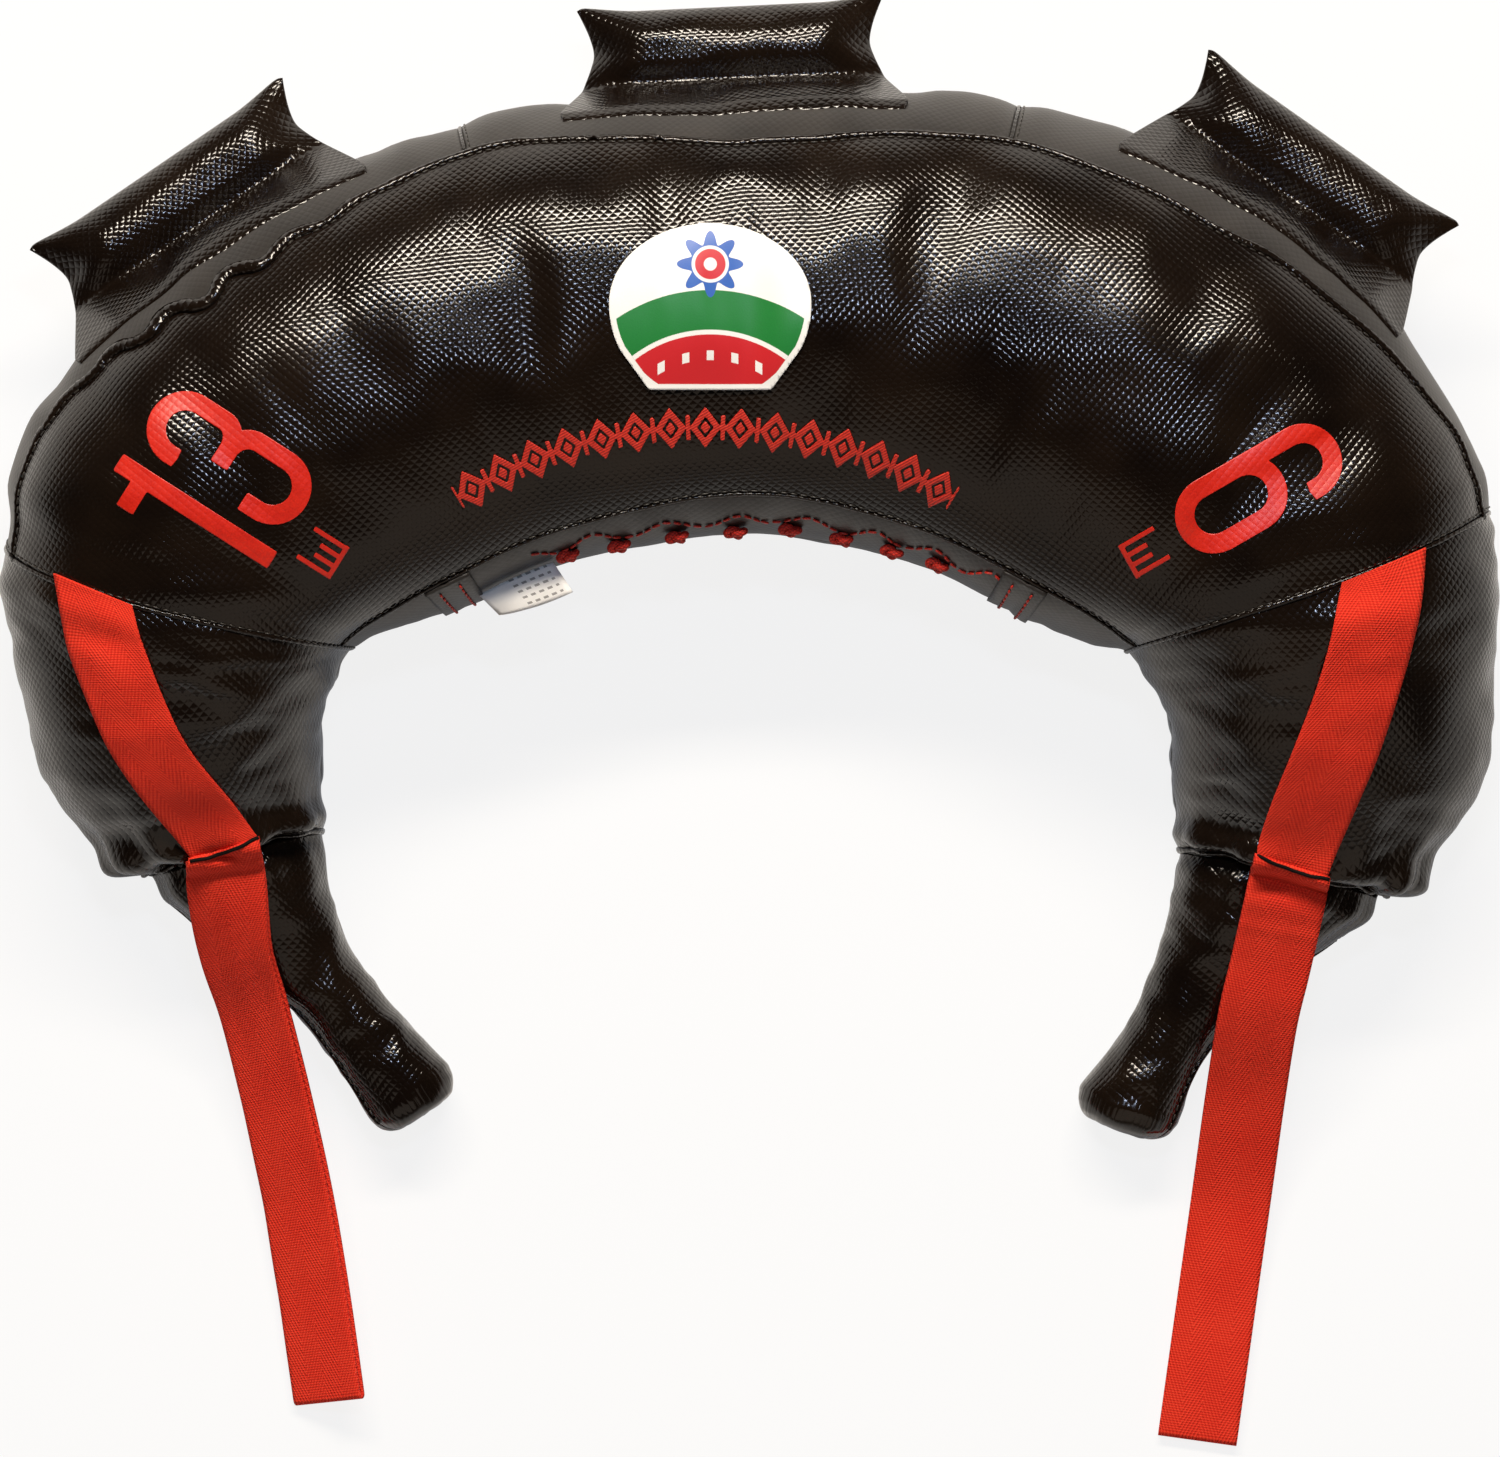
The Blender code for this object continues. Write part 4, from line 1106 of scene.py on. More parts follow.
# %% Thread across the straps
for side, ends in WRIST_LINES.items():
    a, b = np.array(ends)
    web_tree = tree_of([*webs[side], *skin.values()])
    line = []
    for f in np.linspace(0, 1, 24):
        x, y = (a * (1 - f) + b * f) * BAG_WIDTH
        y -= math.sin(f * math.pi) * 0.0014 + noise.noise(Vector((f * 6, 2.0, 0))) * 0.0008
        line.append(lay_down(x, y, 0.0002, web_tree))
    for _ in range(3):
        line = [line[0], *((p + q * 2 + r) / 4 for p, q, r in zip(line, line[1:], line[2:])), line[-1]]
    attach(cord_mesh(side + "_strap_thread", [line], 0.0007, wrist_thread), "bag")
    print(side, "thread", round(run_along(line)[-1] * 1000), "mm")

# %% [markdown]
# The bag is filled through a slit in the inner gusset. Its two flaps are drawn together by a red
# lace whose knots sit in a row, a wavy line of red stitches holds the hem of the front flap, and
# a short patch with two rows of red stitches ends the slit on each side.

# %% Closing patches
PATCH_HALF, PATCH_WALL, PATCH_COLUMNS = 0.0085, 0.0009, 40


def inner_step(s):
    """Step along the inner edge for one station, on the floor plan."""
    return (rib(s + 0.1)[1] - rib(s - 0.1)[1]) / 0.2


for side, station in (("left", CLOSING_LEFT), ("right", CLOSING_RIGHT)):
    pace = float(np.linalg.norm(inner_step(station)))
    half = PATCH_HALF / pace
    rows, cuts = [], []
    for s in np.linspace(station - half, station + half, 9):
        angles = np.linspace(inner_seam(s) + 0.01, back_inner(s) - 0.01, PATCH_COLUMNS)
        rows.append([tuple(lay(surface(s, t), outward_at(s, t), 0.0005)) for t in angles])
        cuts.append([((s - station) * pace, k * 0.0025) for k in range(PATCH_COLUMNS)])
    rows = np.array(rows)
    for _ in range(3):
        rows[:, 1:-1] = (rows[:, :-2] + rows[:, 1:-1] * 2 + rows[:, 2:]) / 4
    made = mesh_object(side + "_closing_patch", rows, grid_faces(*rows.shape[:2]), satin_side_painted_sheen_look, cuts)
    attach(thicken(made, PATCH_WALL, 1.0), "bag")
    stand_for(made, "black_tarpaulin", "closing_patch_" + side, fill=0.3)
    patch_tree = tree_of([made])
    for row, place in enumerate((-0.45, 0.45)):
        s = station + half * place
        path = []
        for t in np.linspace(inner_seam(s) + 0.06, math.pi + 0.8, 50):
            out = outward_at(s, t)
            hit = patch_tree.ray_cast(Vector(surface(s, t)) + out * 0.02, -out, 0.05)[0]
            path.append(surface(s, t) if hit is None else hit)
        name = f"{side}_patch_stitches_{row + 1}"
        stitches(name, path, red_thread, width=0.0010, sunk=0.0, ground=patch_tree)
print("closing patches done")

# %% Hem stitches and lace
FIRST_KNOT, LAST_KNOT, KNOTS = 8.93, 11.25, 8
KNOT_ANGLE, LACE_RADIUS = math.pi * 0.902, 0.0013
HEM_ENDS = (CLOSING_LEFT + 0.75, CLOSING_RIGHT - 0.12)


def hem_angle(s):
    """Angle of the wavy stitch line on the front flap."""
    wave = math.sin(float(s) * 15.0) * 0.05 + noise.noise(Vector((float(s) * 2.0, 7.0, 0))) * 0.06
    return math.pi * 0.872 + wave


path = seam_path(*HEM_ENDS, hem_angle, 200)
stitches("hem_stitches", path, red_thread, length=0.0034, pitch=0.0042, width=0.0010, sunk=0.0)
path = seam_path(*HEM_ENDS, lambda s: 2 * math.pi - hem_angle(s), 200)
stitches("hem_stitches_back", path, red_thread, length=0.0032, pitch=0.0040)


def braid(tree):
    """Braided red cord: small cells slanted both ways, painted darker in the grooves between them as shade.
    """
    cells = weave_height(tree, add(tree, "UVMap", uv_map="flat cut"), 0.0011, 45)
    # The colour follows the cells' height: painted shade in the grooves
    colour = add(tree, "ValToRGB", cells, stops=((0.1, "#9c170d"), (0.7, "#dd2a18")))
    return {"Base Color": colour, "Height": cells}


lace = []
pace = (LAST_KNOT - FIRST_KNOT) / (KNOTS - 1)
for n in range(KNOTS):
    s = FIRST_KNOT + pace * n
    out = outward_at(s, KNOT_ANGLE)
    root = lay(surface(s, KNOT_ANGLE), out, LACE_RADIUS)
    along = Vector((*inner_step(s), 0.0)).normalized()
    cross = out.cross(along).normalized()
    spin = noise.noise(Vector((n * 5.3, 1.0, 0))) * 1.2
    knot = []
    for t in np.linspace(0, 2 * math.pi, 44):
        x, y, z = math.sin(t) + 2 * math.sin(2 * t), math.cos(t) - 2 * math.cos(2 * t), -math.sin(3 * t)
        a, b = x * math.cos(spin) - y * math.sin(spin), x * math.sin(spin) + y * math.cos(spin)
        knot.append(root + along * a * 0.00125 + cross * b * 0.00092 + out * (z * 0.0008 + 0.0008))
    lace.append(knot)
    if n < KNOTS - 1:
        run = []
        for f in np.linspace(0, 1, 13):
            t = math.pi * (0.906 + 0.05 * math.sin(f * math.pi))
            lift = 0.0006 - 0.0042 * min(f, 1 - f, 0.12) / 0.12
            run.append(lay(surface(s + pace * f, t), outward_at(s + pace * f, t), lift))
        lace.append(run)
lace_look = material("braided polyester lace", braid, 0.6, 0.0004, Roughness=0.7)
made = cord_mesh("slit_lace", lace, LACE_RADIUS, lace_look)
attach(made, "bag")
stand_for(made, "red_lace", "closing_lace")
print(KNOTS, "knots,", round(sum(run_along(part)[-1] for part in lace) * 1000), "mm of lace")

# %% [markdown]
# The care label is a folded strip of white satin ribbon, sewn in at the left end of the slit. Its
# print is rows of plain grey dashes.

# %% Care label
def satin(tree):
    """White satin ribbon with rows of grey dashes."""
    coords = add(tree, "UVMap", uv_map="flat cut")
    along, down = add(tree, "SeparateXYZ", coords).outputs[:2]
    lines = add(tree, "Math FRACT", add(tree, "Math MULTIPLY", down, 1 / 0.0028))
    dashes = add(tree, "Math SINE", add(tree, "Math MULTIPLY", along, 1900.0))
    mask = add(
        tree, "Math MULTIPLY",
        add(tree, "Math LESS_THAN", lines, 0.34), add(tree, "Math GREATER_THAN", dashes, -0.2),
    )
    inset = add(
        tree, "Math MULTIPLY",
        add(tree, "Math GREATER_THAN", along, 0.012), add(tree, "Math LESS_THAN", along, 0.0275),
    )
    grey = add(tree, "Math MULTIPLY", add(tree, "Math MULTIPLY", mask, inset), 0.75)
    floats = add(tree, "TexWave", coords, Scale=700.0, Distortion=0.4)
    colour = add(tree, "ValToRGB", grey, stops=((0.0, "#f6f5f2"), (1.0, "#6a6763")))
    return {"Base Color": colour, "Height": floats.outputs["Fac"]}


LABEL_STATION, LABEL_LENGTH, LABEL_WIDTH = 8.47, 0.030, 0.014
LABEL_ANGLE, LABEL_WALL = math.pi * 0.93, 0.0003
half = LABEL_LENGTH / 2 / float(np.linalg.norm(inner_step(LABEL_STATION)))
shares = np.linspace(0, 1, 10)
rows, cuts = [], []
for d in np.linspace(-1, 1, 15):
    s = LABEL_STATION + half * d
    root = lay(surface(s, LABEL_ANGLE), outward_at(s, LABEL_ANGLE), 0.0006)
    outer, inner = rib(s)[:2]
    into = Vector((*(inner - outer), 0)).normalized()
    into = (into + Vector((0.30, 0.0, 0.0))).normalized() * LABEL_WIDTH * (1 - 0.12 * (d - 0.4) ** 2)
    curls = [
        math.sin(f * math.pi) * 0.0010 + f * f * d * 0.0012 + math.sin(d * 4 + f * 3) * 0.0006 * f
        for f in shares
    ]
    rows.append([tuple(root + into * f + Vector((0, 0, 0.0008 + curl))) for f, curl in zip(shares, curls)])
    cuts.append([((d + 1) / 2 * LABEL_LENGTH, f * LABEL_WIDTH) for f in shares])
rows = np.array(rows)
label_look = material("white satin ribbon, printed", satin, 0.25, 0.0002, Roughness=0.42, Sheen_Weight=0.2)
made = mesh_object("care_label_ribbon", rows, grid_faces(*rows.shape[:2]), label_look, cuts)
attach(thicken(made, LABEL_WALL, 0.0), "bag")
stand_for(made, "white_label", "care_label")
print("label done")

# %% [markdown]
# The weight marks are screen printed in red ink, a film too thin to feel, and the band under the
# badge is embroidered, so it stands up. Both are drawn as distance fields: a stroke is all points
# within half a pen's width of a line. A fine grid is cut along the edge of the field, and the
# pieces are laid on the skin, so the edges stay smooth and the film follows each fold.

# %% Shapes cut from a field
def stroke_field(points, strokes, pen):
    """Distance outside the nearest stroke, negative inside, with its ends cut square."""
    best = np.full(len(points), 1.0)
    for stroke in strokes:
        line = np.array([p for k, p in enumerate(stroke) if k == 0 or math.dist(p, stroke[k - 1]) > 1e-6])
        last = len(line) - 2
        for k, (a, b) in enumerate(zip(line[:-1], line[1:])):
            along = b - a
            length = math.hypot(*along)
            run = (points - a) @ along / length
            gap = np.linalg.norm(points - a - np.clip(run, 0, length)[:, None] * along / length, axis=1)
            if k == 0:
                gap = np.where(run < 0, np.maximum(gap, pen / 2 - run), gap)
            if k == last:
                gap = np.where(run > length, np.maximum(gap, pen / 2 + run - length), gap)
            best = np.minimum(best, gap)
    return best - pen / 2


def arc(cx, cy, rx, ry, start, end, count=24):
    """Points of an arc, in degrees from +x, counter clockwise."""
    turn = np.radians(np.linspace(start, end, count))
    return [(cx + rx * math.cos(t), cy + ry * math.sin(t)) for t in turn]


def cut_shape(field, low, high, cell):
    """Faces of a flat grid where field is below zero, cut along its edge."""
    xs = np.arange(low[0], high[0] + cell, cell)
    ys = np.arange(low[1], high[1] + cell, cell)
    spots = np.stack(np.meshgrid(xs, ys), -1).reshape(-1, 2)
    value = field(spots)
    wide = len(xs)
    points, faces, known = [], [], {}

    def place(key, spot):
        if key not in known:
            known[key] = len(points)
            points.append(spot)
        return known[key]

    for j in range(len(ys) - 1):
        for i in range(wide - 1):
            ring = [j * wide + i, j * wide + i + 1, (j + 1) * wide + i + 1, (j + 1) * wide + i]
            if all(value[r] >= 0 for r in ring):
                continue
            face = []
            for n, a in enumerate(ring):
                b = ring[(n + 1) % 4]
                if value[a] < 0:
                    face.append(place(a, spots[a]))
                if (value[a] < 0) != (value[b] < 0):
                    share = value[a] / (value[a] - value[b])
                    face.append(place((min(a, b), max(a, b)), spots[a] + (spots[b] - spots[a]) * share))
            if len(face) > 2:
                faces.append(tuple(face))
    return np.array(points), faces


def lay_shape(name, points, faces, place, up, look, lift, wall):
    """Lay a flat shape on the skin: place is its origin on the floor plan and up its own +y."""
    up = np.array(up) / np.linalg.norm(up)
    right = np.array([up[1], -up[0]])
    plan = np.array(place) + points[:, :1] * right + points[:, 1:] * up
    made = mesh_object(name, [tuple(lay_down(x, y, lift)) for x, y in plan], faces, look, plan)
    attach(thicken(made, wall, 1.0), "bag")
    print(name, len(faces), "faces")


def plan_of(px, py):
    """Floor place from shares of the width to the right of and above the middle."""
    return (px * BAG_WIDTH, py * BAG_WIDTH)


# %% Weight marks
def screen_ink(tree):
    """Flexible ink with a fine grain, over the raised weave."""
    coords = add(tree, "UVMap", uv_map="flat cut")
    grain = add(tree, "TexNoise", coords, Scale=1500.0, Detail=3.0)
    blotch = add(tree, "TexNoise", coords, Scale=160.0, Detail=2.0)
    mixed = add(tree, "Math MULTIPLY_ADD", grain, 0.6, add(tree, "Math MULTIPLY", blotch, 0.4))
    weave = weave_height(tree, coords, YARN_PITCH, YARN_TURN)
    return {
        "Base Color": add(tree, "ValToRGB", mixed, stops=((0.3, "#b8160a"), (0.7, "#dc2a16"))),
        "Height": add(tree, "Math MULTIPLY_ADD", grain, 0.3, weave),
    }


ink = material("flexible red screen ink", screen_ink, 0.35, 0.0002, Roughness=0.38)
INK_LIFT, INK_FILM = 0.0002, 0.00008
PEN, TALL, WIDE = 0.0072, 0.067, 0.0285
# Height of the top stroke's middle, place of the right one, and radius of the round parts
TOP, SIDE, ROUND = TALL - PEN, WIDE - PEN, (WIDE - PEN) / 2
FOOT, FLAG_DROP, FLAG_REACH, GAP_WITHIN = -PEN / 2, 0.0112, 0.0135, 0.0127
WAIST, BOWL = 0.64 * TOP, 0.43 * TOP
one = [
    [(0.0, FOOT), (0.0, TALL + FOOT)],
    [(0.0, TALL - FLAG_DROP + FOOT), (-FLAG_REACH, TALL - FLAG_DROP + FOOT)],
]
three = [
    [
        (0.0, TOP - ROUND - 0.003), *arc(ROUND, TOP - ROUND, ROUND, ROUND, 180, 0), (SIDE, WAIST),
        *arc(SIDE * 0.60, WAIST, SIDE * 0.40, 0.0068, 0, -90, 10), (SIDE * 0.30, WAIST - 0.0068),
    ],
    [
        (SIDE * 0.60, WAIST - 0.0068), *arc(SIDE * 0.58, WAIST - 0.0150, SIDE * 0.42, 0.0082, 90, 0, 10),
        (SIDE, ROUND), *arc(ROUND, ROUND, ROUND, ROUND, 0, -180), (0.0, ROUND + 0.0065),
    ],
]
six = [[
    (SIDE, TOP - ROUND - 0.003), *arc(ROUND, TOP - ROUND, ROUND, ROUND, 0, 180), (0.0, ROUND),
    *arc(ROUND, ROUND, ROUND, ROUND, 180, 360), (SIDE, BOWL), *arc(ROUND, BOWL, ROUND, ROUND, 0, 180),
]]
thirteen = one + [[(x + GAP_WITHIN, y) for x, y in line] for line in three]
# Beside each number stand four plain measuring ticks on a bar: place along it and height
TICKS = ((0.001, 0.0135), (0.005, 0.0085), (0.009, 0.0085), (0.013, 0.0135))
ticks = [*([(x, 0.0), (x, tall)] for x, tall in TICKS), [(0.0001, 0.0), (0.0139, 0.0)]]
TICK_PEN = 0.0018
THIRTEEN_UP, SIX_UP = (-0.842, 0.539), (0.865, 0.502)
# Strokes, pen, place, upward way and cell of the grid
MARKS = {
    "mark_13": (thirteen, PEN, (-0.3197, 0.1138), THIRTEEN_UP, 0.0005),
    "mark_6": (six, PEN, (0.2791, 0.1471), SIX_UP, 0.0005),
    "ticks_left": (ticks, TICK_PEN, (-0.2782, 0.0985), THIRTEEN_UP, 0.0003),
    "ticks_right": (ticks, TICK_PEN, (0.2439, 0.1207), SIX_UP, 0.0003),
}
for name, (strokes, pen, place, up, cell) in MARKS.items():
    ends = np.array([p for line in strokes for p in line])
    low, high = ends.min(axis=0) - pen, ends.max(axis=0) + pen
    shape = cut_shape(lambda p: stroke_field(p, strokes, pen), low, high, cell)
    lay_shape(name, *shape, plan_of(*place), up, ink, INK_LIFT, INK_FILM)

# %% [markdown]
# The embroidered band follows the neck in an arc. Its own motifs are plain lozenges with a bar
# between them, a common border in woven and stitched trim. Satin stitches run across each one,
# so the surface has fine ridges and a soft shine.

# %% Embroidered band
BAND_CENTRE, BAND_RADIUS, BAND_HALF_TURN = plan_of(-0.029, -0.1145), 0.175, math.radians(31.6)
MOTIF, MOTIFS = 0.0150, 15
# Slope of a lozenge's sides, with the length that turns its measure into metres
SLOPE, SLANT = 1.3, 1.64
STITCH_PITCH, STITCH_TURN = 0.0009, 62


def satin_stitch(tree):
    """Red rayon in fine parallel stitches, painted darker between the stitches as shade, with random flecks.
    """
    coords = add(tree, "UVMap", uv_map="flat cut")
    turned = add(tree, "Mapping", coords, Rotation=(0, 0, math.radians(STITCH_TURN)), vector_type="POINT")
    ridges = add(tree, "Math MULTIPLY", add(tree, "SeparateXYZ", turned), 2 * math.pi / STITCH_PITCH)
    ridges = add(tree, "Math MULTIPLY_ADD", add(tree, "Math SINE", ridges), 0.25, 0.1)
    flecks = add(tree, "TexNoise", coords, Scale=1100.0, Detail=3.0)
    height = add(tree, "Math MULTIPLY_ADD", flecks, 0.8, ridges)
    # The colour follows the height: painted shade between the stitches, with random flecks
    colour = add(tree, "ValToRGB", height, stops=((0.25, "#a5140c"), (0.75, "#e23a26")))
    return {"Base Color": colour, "Height": height}


def band_field(points):
    """Lozenges with bars between them along an arc, negative inside."""
    along = np.arctan2(points[:, 0], points[:, 1]) * BAND_RADIUS
    pitch = 2 * BAND_HALF_TURN * BAND_RADIUS / MOTIFS
    x = np.abs((along + pitch * MOTIFS / 2) % pitch - pitch / 2)
    y = np.abs(np.linalg.norm(points, axis=1) - BAND_RADIUS)
    lozenge = (x * SLOPE + y - MOTIF / 2) / SLANT
    ring = np.maximum(lozenge, -(lozenge + 0.0021))
    core = (x * SLOPE + y - 0.0024) / SLANT
    bar = np.maximum(pitch / 2 - x - 0.0008, y - MOTIF * 0.30)
    ends = np.abs(along) - pitch * MOTIFS / 2
    return np.maximum(np.minimum(np.minimum(ring, core), bar), ends)


embroidery = material("rayon embroidery, satin stitched", satin_stitch, 0.6, 0.0003, Roughness=0.5)
reach = BAND_RADIUS + MOTIF
wide, low = reach * math.sin(BAND_HALF_TURN) + 0.002, BAND_RADIUS * math.cos(BAND_HALF_TURN) - MOTIF
shape = cut_shape(band_field, (-wide, low), (wide, reach), 0.0006)
lay_shape("embroidered_band", *shape, BAND_CENTRE, (0, 1), embroidery, 0.0001, 0.0006)

# %% [markdown]
# The badge is a printed vinyl patch with a white rim. It shows a plain rosette over a green and a
# red band, which gives the patch its colours and weight. The print is worked out in the shader
# from the patch's own coordinates.

# %% Badge
BADGE_WIDTH, BADGE_SQUASH, RIM = 0.0744, 1.257, 0.0022
# Line of a slanted corner, height of the foot below the middle, and where round top and corner meet
CORNER_WAY, CORNER_OUT, FOOT_DROP, SHOULDER = (0.81, -0.59), 0.0368, 0.0315, -0.0169
BADGE_WALL, BADGE_CELL, BADGE_HALF = 0.0006, 0.0012, 0.039
WHITE, GREEN, RED, BLUE = "#f1f1ee", "#1d7a34", "#c9252b", "#2d5fb5"


def badge(tree):
    """Rosette on white over curved bands, drawn by the distance from a few circles."""
    coords = add(tree, "UVMap", uv_map="flat cut")
    x, y = add(tree, "SeparateXYZ", coords).outputs[:2]

    def inside(value, limit, soft=0.00012):
        """1 where a value is under its limit and 0 over it, with a soft edge."""
        past = add(tree, "MapRange", value, clamp=True, From_Min=limit - soft, From_Max=limit + soft)
        return add(tree, "Math SUBTRACT", 1.0, past)

    def length(across, up):
        """Length of a step across and up."""
        squares = (add(tree, "Math MULTIPLY", value, value) for value in (across, up))
        return add(tree, "Math SQRT", add(tree, "Math ADD", *squares))

    upper = add(tree, "MapRange", y, clamp=True, From_Min=-0.00001, From_Max=0.00001)
    squash = add(tree, "Math MULTIPLY_ADD", upper, BADGE_SQUASH - 1.0, 1.0)
    top = length(x, add(tree, "Math MULTIPLY", y, squash))
    top = add(tree, "Math SUBTRACT", top, BADGE_WIDTH / 2 - RIM)
    corner = add(tree, "Math MULTIPLY_ADD", y, CORNER_WAY[1], RIM - CORNER_OUT)
    corner = add(tree, "Math MULTIPLY_ADD", add(tree, "Math ABSOLUTE", x), CORNER_WAY[0], corner)
    foot = add(tree, "Math MULTIPLY_ADD", y, -1.0, RIM - FOOT_DROP)
    edge = add(tree, "Math MAXIMUM", add(tree, "Math MAXIMUM", top, corner), foot)
    body = inside(edge, 0.0)
    hill = length(x, add(tree, "Math SUBTRACT", y, -0.057))
    bars = add(tree, "Math LESS_THAN", add(tree, "Math PINGPONG", x, 0.0045), 0.0013)
    low_row = add(tree, "Math SUBTRACT", 1.0, inside(hill, 0.0365))
    low_row = add(tree, "Math MULTIPLY", inside(hill, 0.0400), low_row)
    up = add(tree, "Math SUBTRACT", y, 0.0145)
    middle = length(x, up)
    turn = add(tree, "Math MULTIPLY", add(tree, "Math ARCTAN2", up, x), 8.0)
    petals = add(tree, "Math MULTIPLY_ADD", add(tree, "Math COSINE", turn), 0.0024, 0.0098)
    layers = [
        *(
            (add(tree, "Math MULTIPLY", mask, body), swatch) for mask, swatch in (
                (inside(hill, 0.062), GREEN), (inside(hill, 0.0475), WHITE), (inside(hill, 0.0458), RED),
                (add(tree, "Math MULTIPLY", bars, low_row), WHITE),
            )
        ),
        (inside(add(tree, "Math SUBTRACT", middle, petals), 0.0), BLUE),
        (inside(middle, 0.0068), WHITE), (inside(middle, 0.0056), RED), (inside(middle, 0.0024), WHITE),
    ]
    colour = WHITE
    for mask, swatch in layers:
        colour = add(tree, "MixRGB", mask, colour, swatch)
    grain = add(tree, "TexNoise", coords, Scale=1500.0, Detail=2.0)
    worn = add(tree, "MixRGB", 0.12, colour, grain.outputs["Color"], blend_type="SOFT_LIGHT")
    return {"Base Color": worn, "Height": grain}


def badge_field(points):
    """Low round top, flat foot with slanted corners."""
    x, y = np.abs(points[:, 0]), points[:, 1]
    round_top = np.hypot(x, np.where(y > 0, y * BADGE_SQUASH, y)) - BADGE_WIDTH / 2
    corner = x * CORNER_WAY[0] + y * CORNER_WAY[1] - CORNER_OUT
    return np.maximum(np.where(y > SHOULDER, round_top, corner), -y - FOOT_DROP)


points, faces = cut_shape(badge_field, (-BADGE_HALF, -BADGE_HALF), (BADGE_HALF, BADGE_HALF), BADGE_CELL)
laid = np.array([tuple(lay_down(x, y, 0.0005)) for x, y in points + plan_of(-0.0258, 0.2785)])
linked = {k: set() for k in range(len(points))}
for face in faces:
    for a, b in zip(face, face[1:] + face[:1]):
        linked[a].add(b)
        linked[b].add(a)
level = laid[:, 2].copy()
for _ in range(14):
    level = np.array([
        max((level[k] + sum(level[n] for n in around) / len(around)) / 2, laid[k, 2])
        for k, around in linked.items()
    ])
laid[:, 2] = level
badge_look = material("printed vinyl patch", badge, 0.15, 0.0002, Roughness=0.38)
made = mesh_object("badge_print", laid, faces, badge_look, points)
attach(thicken(made, BADGE_WALL, 1.0), "bag")
stand_for(made, "printed_badge", "badge_patch")
print("badge done")

# %% [markdown]
# Inside the skin lie pieces that only a cut open bag would show: wool batting round a tube of
# sand, wool in the horns and foam in the handles. They still get their own finish, since someone
# may open the model.

# %% Fillings
def fibre(name, light, dark, scale, depth):
    """Loose or grainy filling: broken noise in two tones."""

    def draw(tree):
        coords = add(tree, "TexCoord").outputs["Object"]
        fine = add(tree, "TexNoise", coords, Scale=scale, Detail=6.0, Roughness=0.7)
        colour = add(tree, "ValToRGB", fine, stops=((0.35, dark), (0.65, light)))
        return {"Base Color": colour, "Height": fine}

    return material(name, draw, 0.8, depth, Roughness=0.95)


wool = fibre("raw wool batting", "#d8cdb8", "#a8987c", 260.0, 0.002)
sand = fibre("washed quarry sand in a woven liner", "#c9ae7c", "#8e744a", 900.0, 0.0006)
foam = fibre("closed cell foam, grey", "#55565a", "#2f3033", 1200.0, 0.0003)
INNER = {"wool_batting_front": wool, "wool_batting_back": wool, "sand_tube": sand}
INNER.update({name + "_core": foam for name in HANDLES})
for node, look in INNER.items():
    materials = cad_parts[node].data.materials
    materials.clear()
    materials.append(look)
print("fillings dressed")

# %% [markdown]
# The wool in a horn is soft. It is made anew as one closed roll, a little slimmer than the CAD one,
# to stay inside the gathered cloth at the wrist.

# %% Wool of the horns
WOOL_INSET, WOOL_BACK, WOOL_TIP = 0.0045, 0.35, 0.6
WOOL_ENDS = {
    "left": (-WOOL_TIP, LEFT_WRIST - WOOL_BACK), "right": (RIGHT_WRIST + WOOL_BACK, LAST + WOOL_TIP),
}
around = np.linspace(0, 2 * math.pi, 28, endpoint=False)
for side, ends in WOOL_ENDS.items():
    rings = [surface(s, around, WOOL_INSET) for s in np.linspace(*ends, 30)]
    made = mesh_object(side + "_horn_wool", *tube(rings), wool)
    shape = bmesh.new()
    shape.from_mesh(made.data)
    bmesh.ops.recalc_face_normals(shape, faces=shape.faces)
    shape.to_mesh(made.data)
    shape.free()
    follow(made, side + "_horn")
    stand_for(made, "wool", side + "_horn_stuffing", fill=0.8)
print("horn wool made")

# %% [markdown]
# The bag was photographed from above on white paper, under a broad warm softbox beyond the top
# handle and a smaller, cooler one closer to the lens. On glossy black cloth the lights are seen
# only as reflections, so their places set where each highlight runs. The floor is a pale sheet
# that keeps the bag's shadow, and the camera and the glossy cloth see it as white paper.

# %% Floor and backdrop
FLOOR_HALF, FLOOR_DROP = 6, 0.0004


def paper(name, camera_share, mirror_share, seen):
    """Pale matt paper that the camera and reflections see a little brighter than the lamps make it."""
    made = bpy.data.materials.new(name)
    made.use_nodes = True
    tree = made.node_tree
    matt = tree.nodes["Principled BSDF"]
    feed(tree, matt.inputs["Base Color"], "#f2f1ef")
    feed(tree, matt.inputs["Roughness"], 0.9)
    path = add(tree, "LightPath").outputs
    other = add(tree, "Math MAXIMUM", path["Is Glossy Ray"], path["Is Transmission Ray"])
    other = add(tree, "Math MULTIPLY", other, mirror_share)
    share = add(tree, "Math MULTIPLY_ADD", path["Is Camera Ray"], camera_share, other)
    both = add(tree, "MixShader", share, matt, add(tree, "Emission", Color="#ffffff", Strength=seen))
    feed(tree, tree.nodes["Material Output"].inputs["Surface"], both)
    return made


corners = [(x * FLOOR_HALF, y * FLOOR_HALF, 0) for x, y in ((-1, -1), (1, -1), (1, 1), (-1, 1))]
floor = mesh_object("floor", corners, [(0, 1, 2, 3)], paper("white paper, matt", 0.85, 0.24, 1.0))
floor.location.z = -FLOOR_DROP

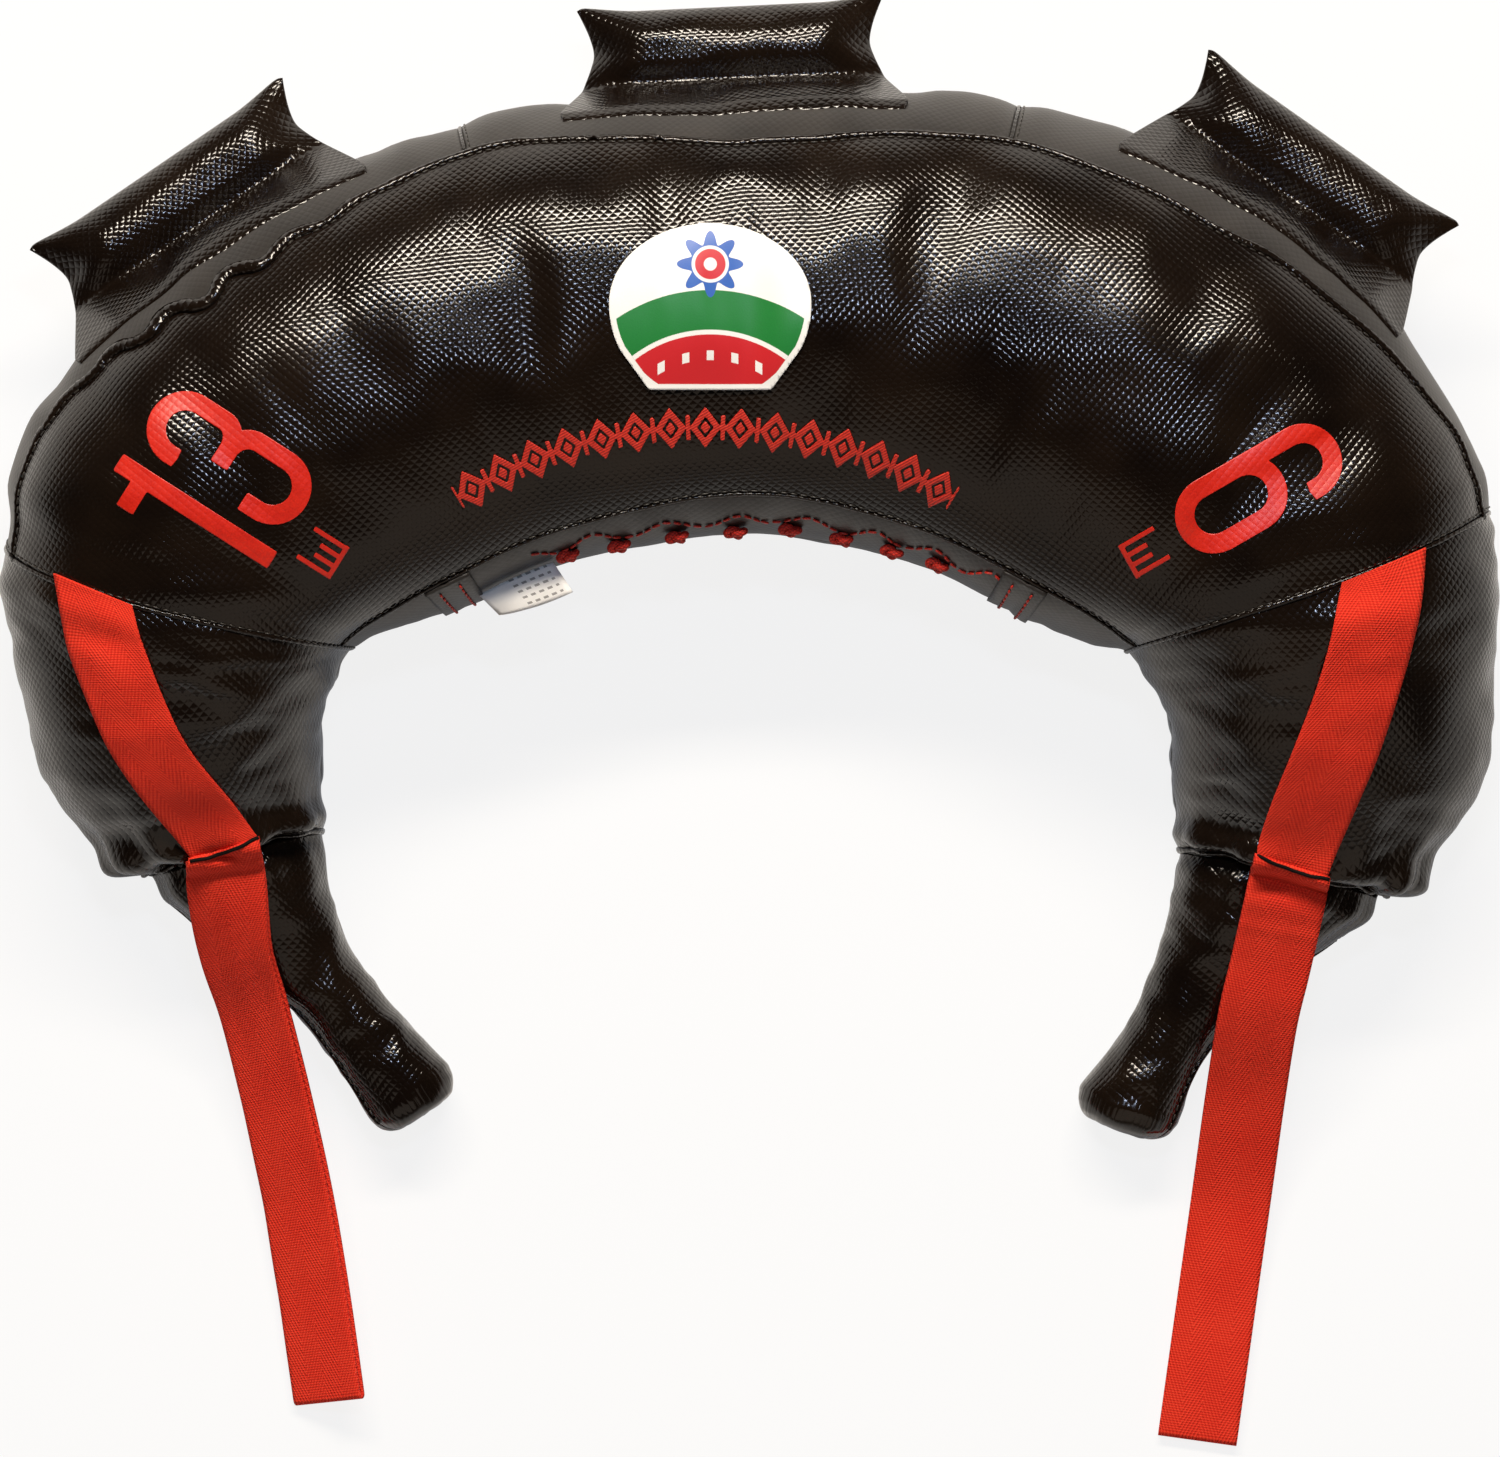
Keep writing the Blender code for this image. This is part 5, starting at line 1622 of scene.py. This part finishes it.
world = bpy.data.worlds.new("studio")
bpy.context.scene.world = world
world.use_nodes = True
tree = world.node_tree
height = add(tree, "SeparateXYZ", add(tree, "TexCoord").outputs["Generated"]).outputs["Z"]
DOME = ((0.0, "#d4ccc4"), (0.10, "#7a6f66"), (0.25, "#3c342d"), (0.5, "#241f1a"), (0.95, "#110e0c"))
dome = add(tree, "ValToRGB", height, stops=DOME)
seen = add(tree, "MixRGB", add(tree, "LightPath").outputs["Is Camera Ray"], dome, "#ffffff")
feed(tree, tree.nodes["Background"].inputs["Color"], seen)
feed(tree, tree.nodes["Background"].inputs["Strength"], 1.0)


# %% Lights
def softbox(name, place, target, size, watts, swatch):
    """Rectangular area light that faces a point."""
    lamp = bpy.data.lights.new(name, "AREA")
    lamp.shape = "RECTANGLE"
    lamp.size, lamp.size_y = size
    lamp.energy = watts
    lamp.color = linear(swatch)[:3]
    made = bpy.data.objects.new(name, lamp)
    made.location = place
    made.rotation_euler = (Vector(target) - Vector(place)).to_track_quat("-Z", "Y").to_euler()
    bpy.context.scene.collection.objects.link(made)


def overhead(tilt, turn, distance):
    """Place at this tilt from straight up, toward +Y, turned round the vertical, in degrees and metres."""
    a, b = math.radians(tilt), math.radians(turn)
    level = distance * math.sin(a)
    return (level * math.sin(b), 0.1 + level * math.cos(b), distance * math.cos(a))


softbox("warm softbox", overhead(38, -4, 2.0), (0, 0.1, 0.06), (1.5, 0.22), 56, "#fff3e2")
softbox("cool softbox", overhead(12, 8, 2.1), (0, 0.1, 0.06), (0.30, 0.10), 7, "#cfe0ff")
softbox("front card", overhead(55, 180, 2.4), (0, 0.05, 0.05), (3.0, 1.6), 8, "#f6e4d2")
print("lights", 3)

# %% [markdown]
# The photograph has no visible perspective, so the camera stands far off with a long lens. Its
# distance and lens are worked out from the width of floor that the photograph shows.

# %% Camera
FIELD, EYE_HEIGHT, LOOK_HEIGHT = 0.5622, 4.0, 0.06
camera = bpy.data.cameras.new("camera")
camera.type = "PERSP"
camera.sensor_width = 36.0
camera.lens = camera.sensor_width * (EYE_HEIGHT - LOOK_HEIGHT) / FIELD
eye = bpy.data.objects.new("camera", camera)
eye.location = (0.0002, -0.0002, EYE_HEIGHT)
bpy.context.scene.collection.objects.link(eye)
bpy.context.scene.camera = eye
bpy.context.scene.view_settings.view_transform = "Standard"
print("lens", round(camera.lens, 1), "mm")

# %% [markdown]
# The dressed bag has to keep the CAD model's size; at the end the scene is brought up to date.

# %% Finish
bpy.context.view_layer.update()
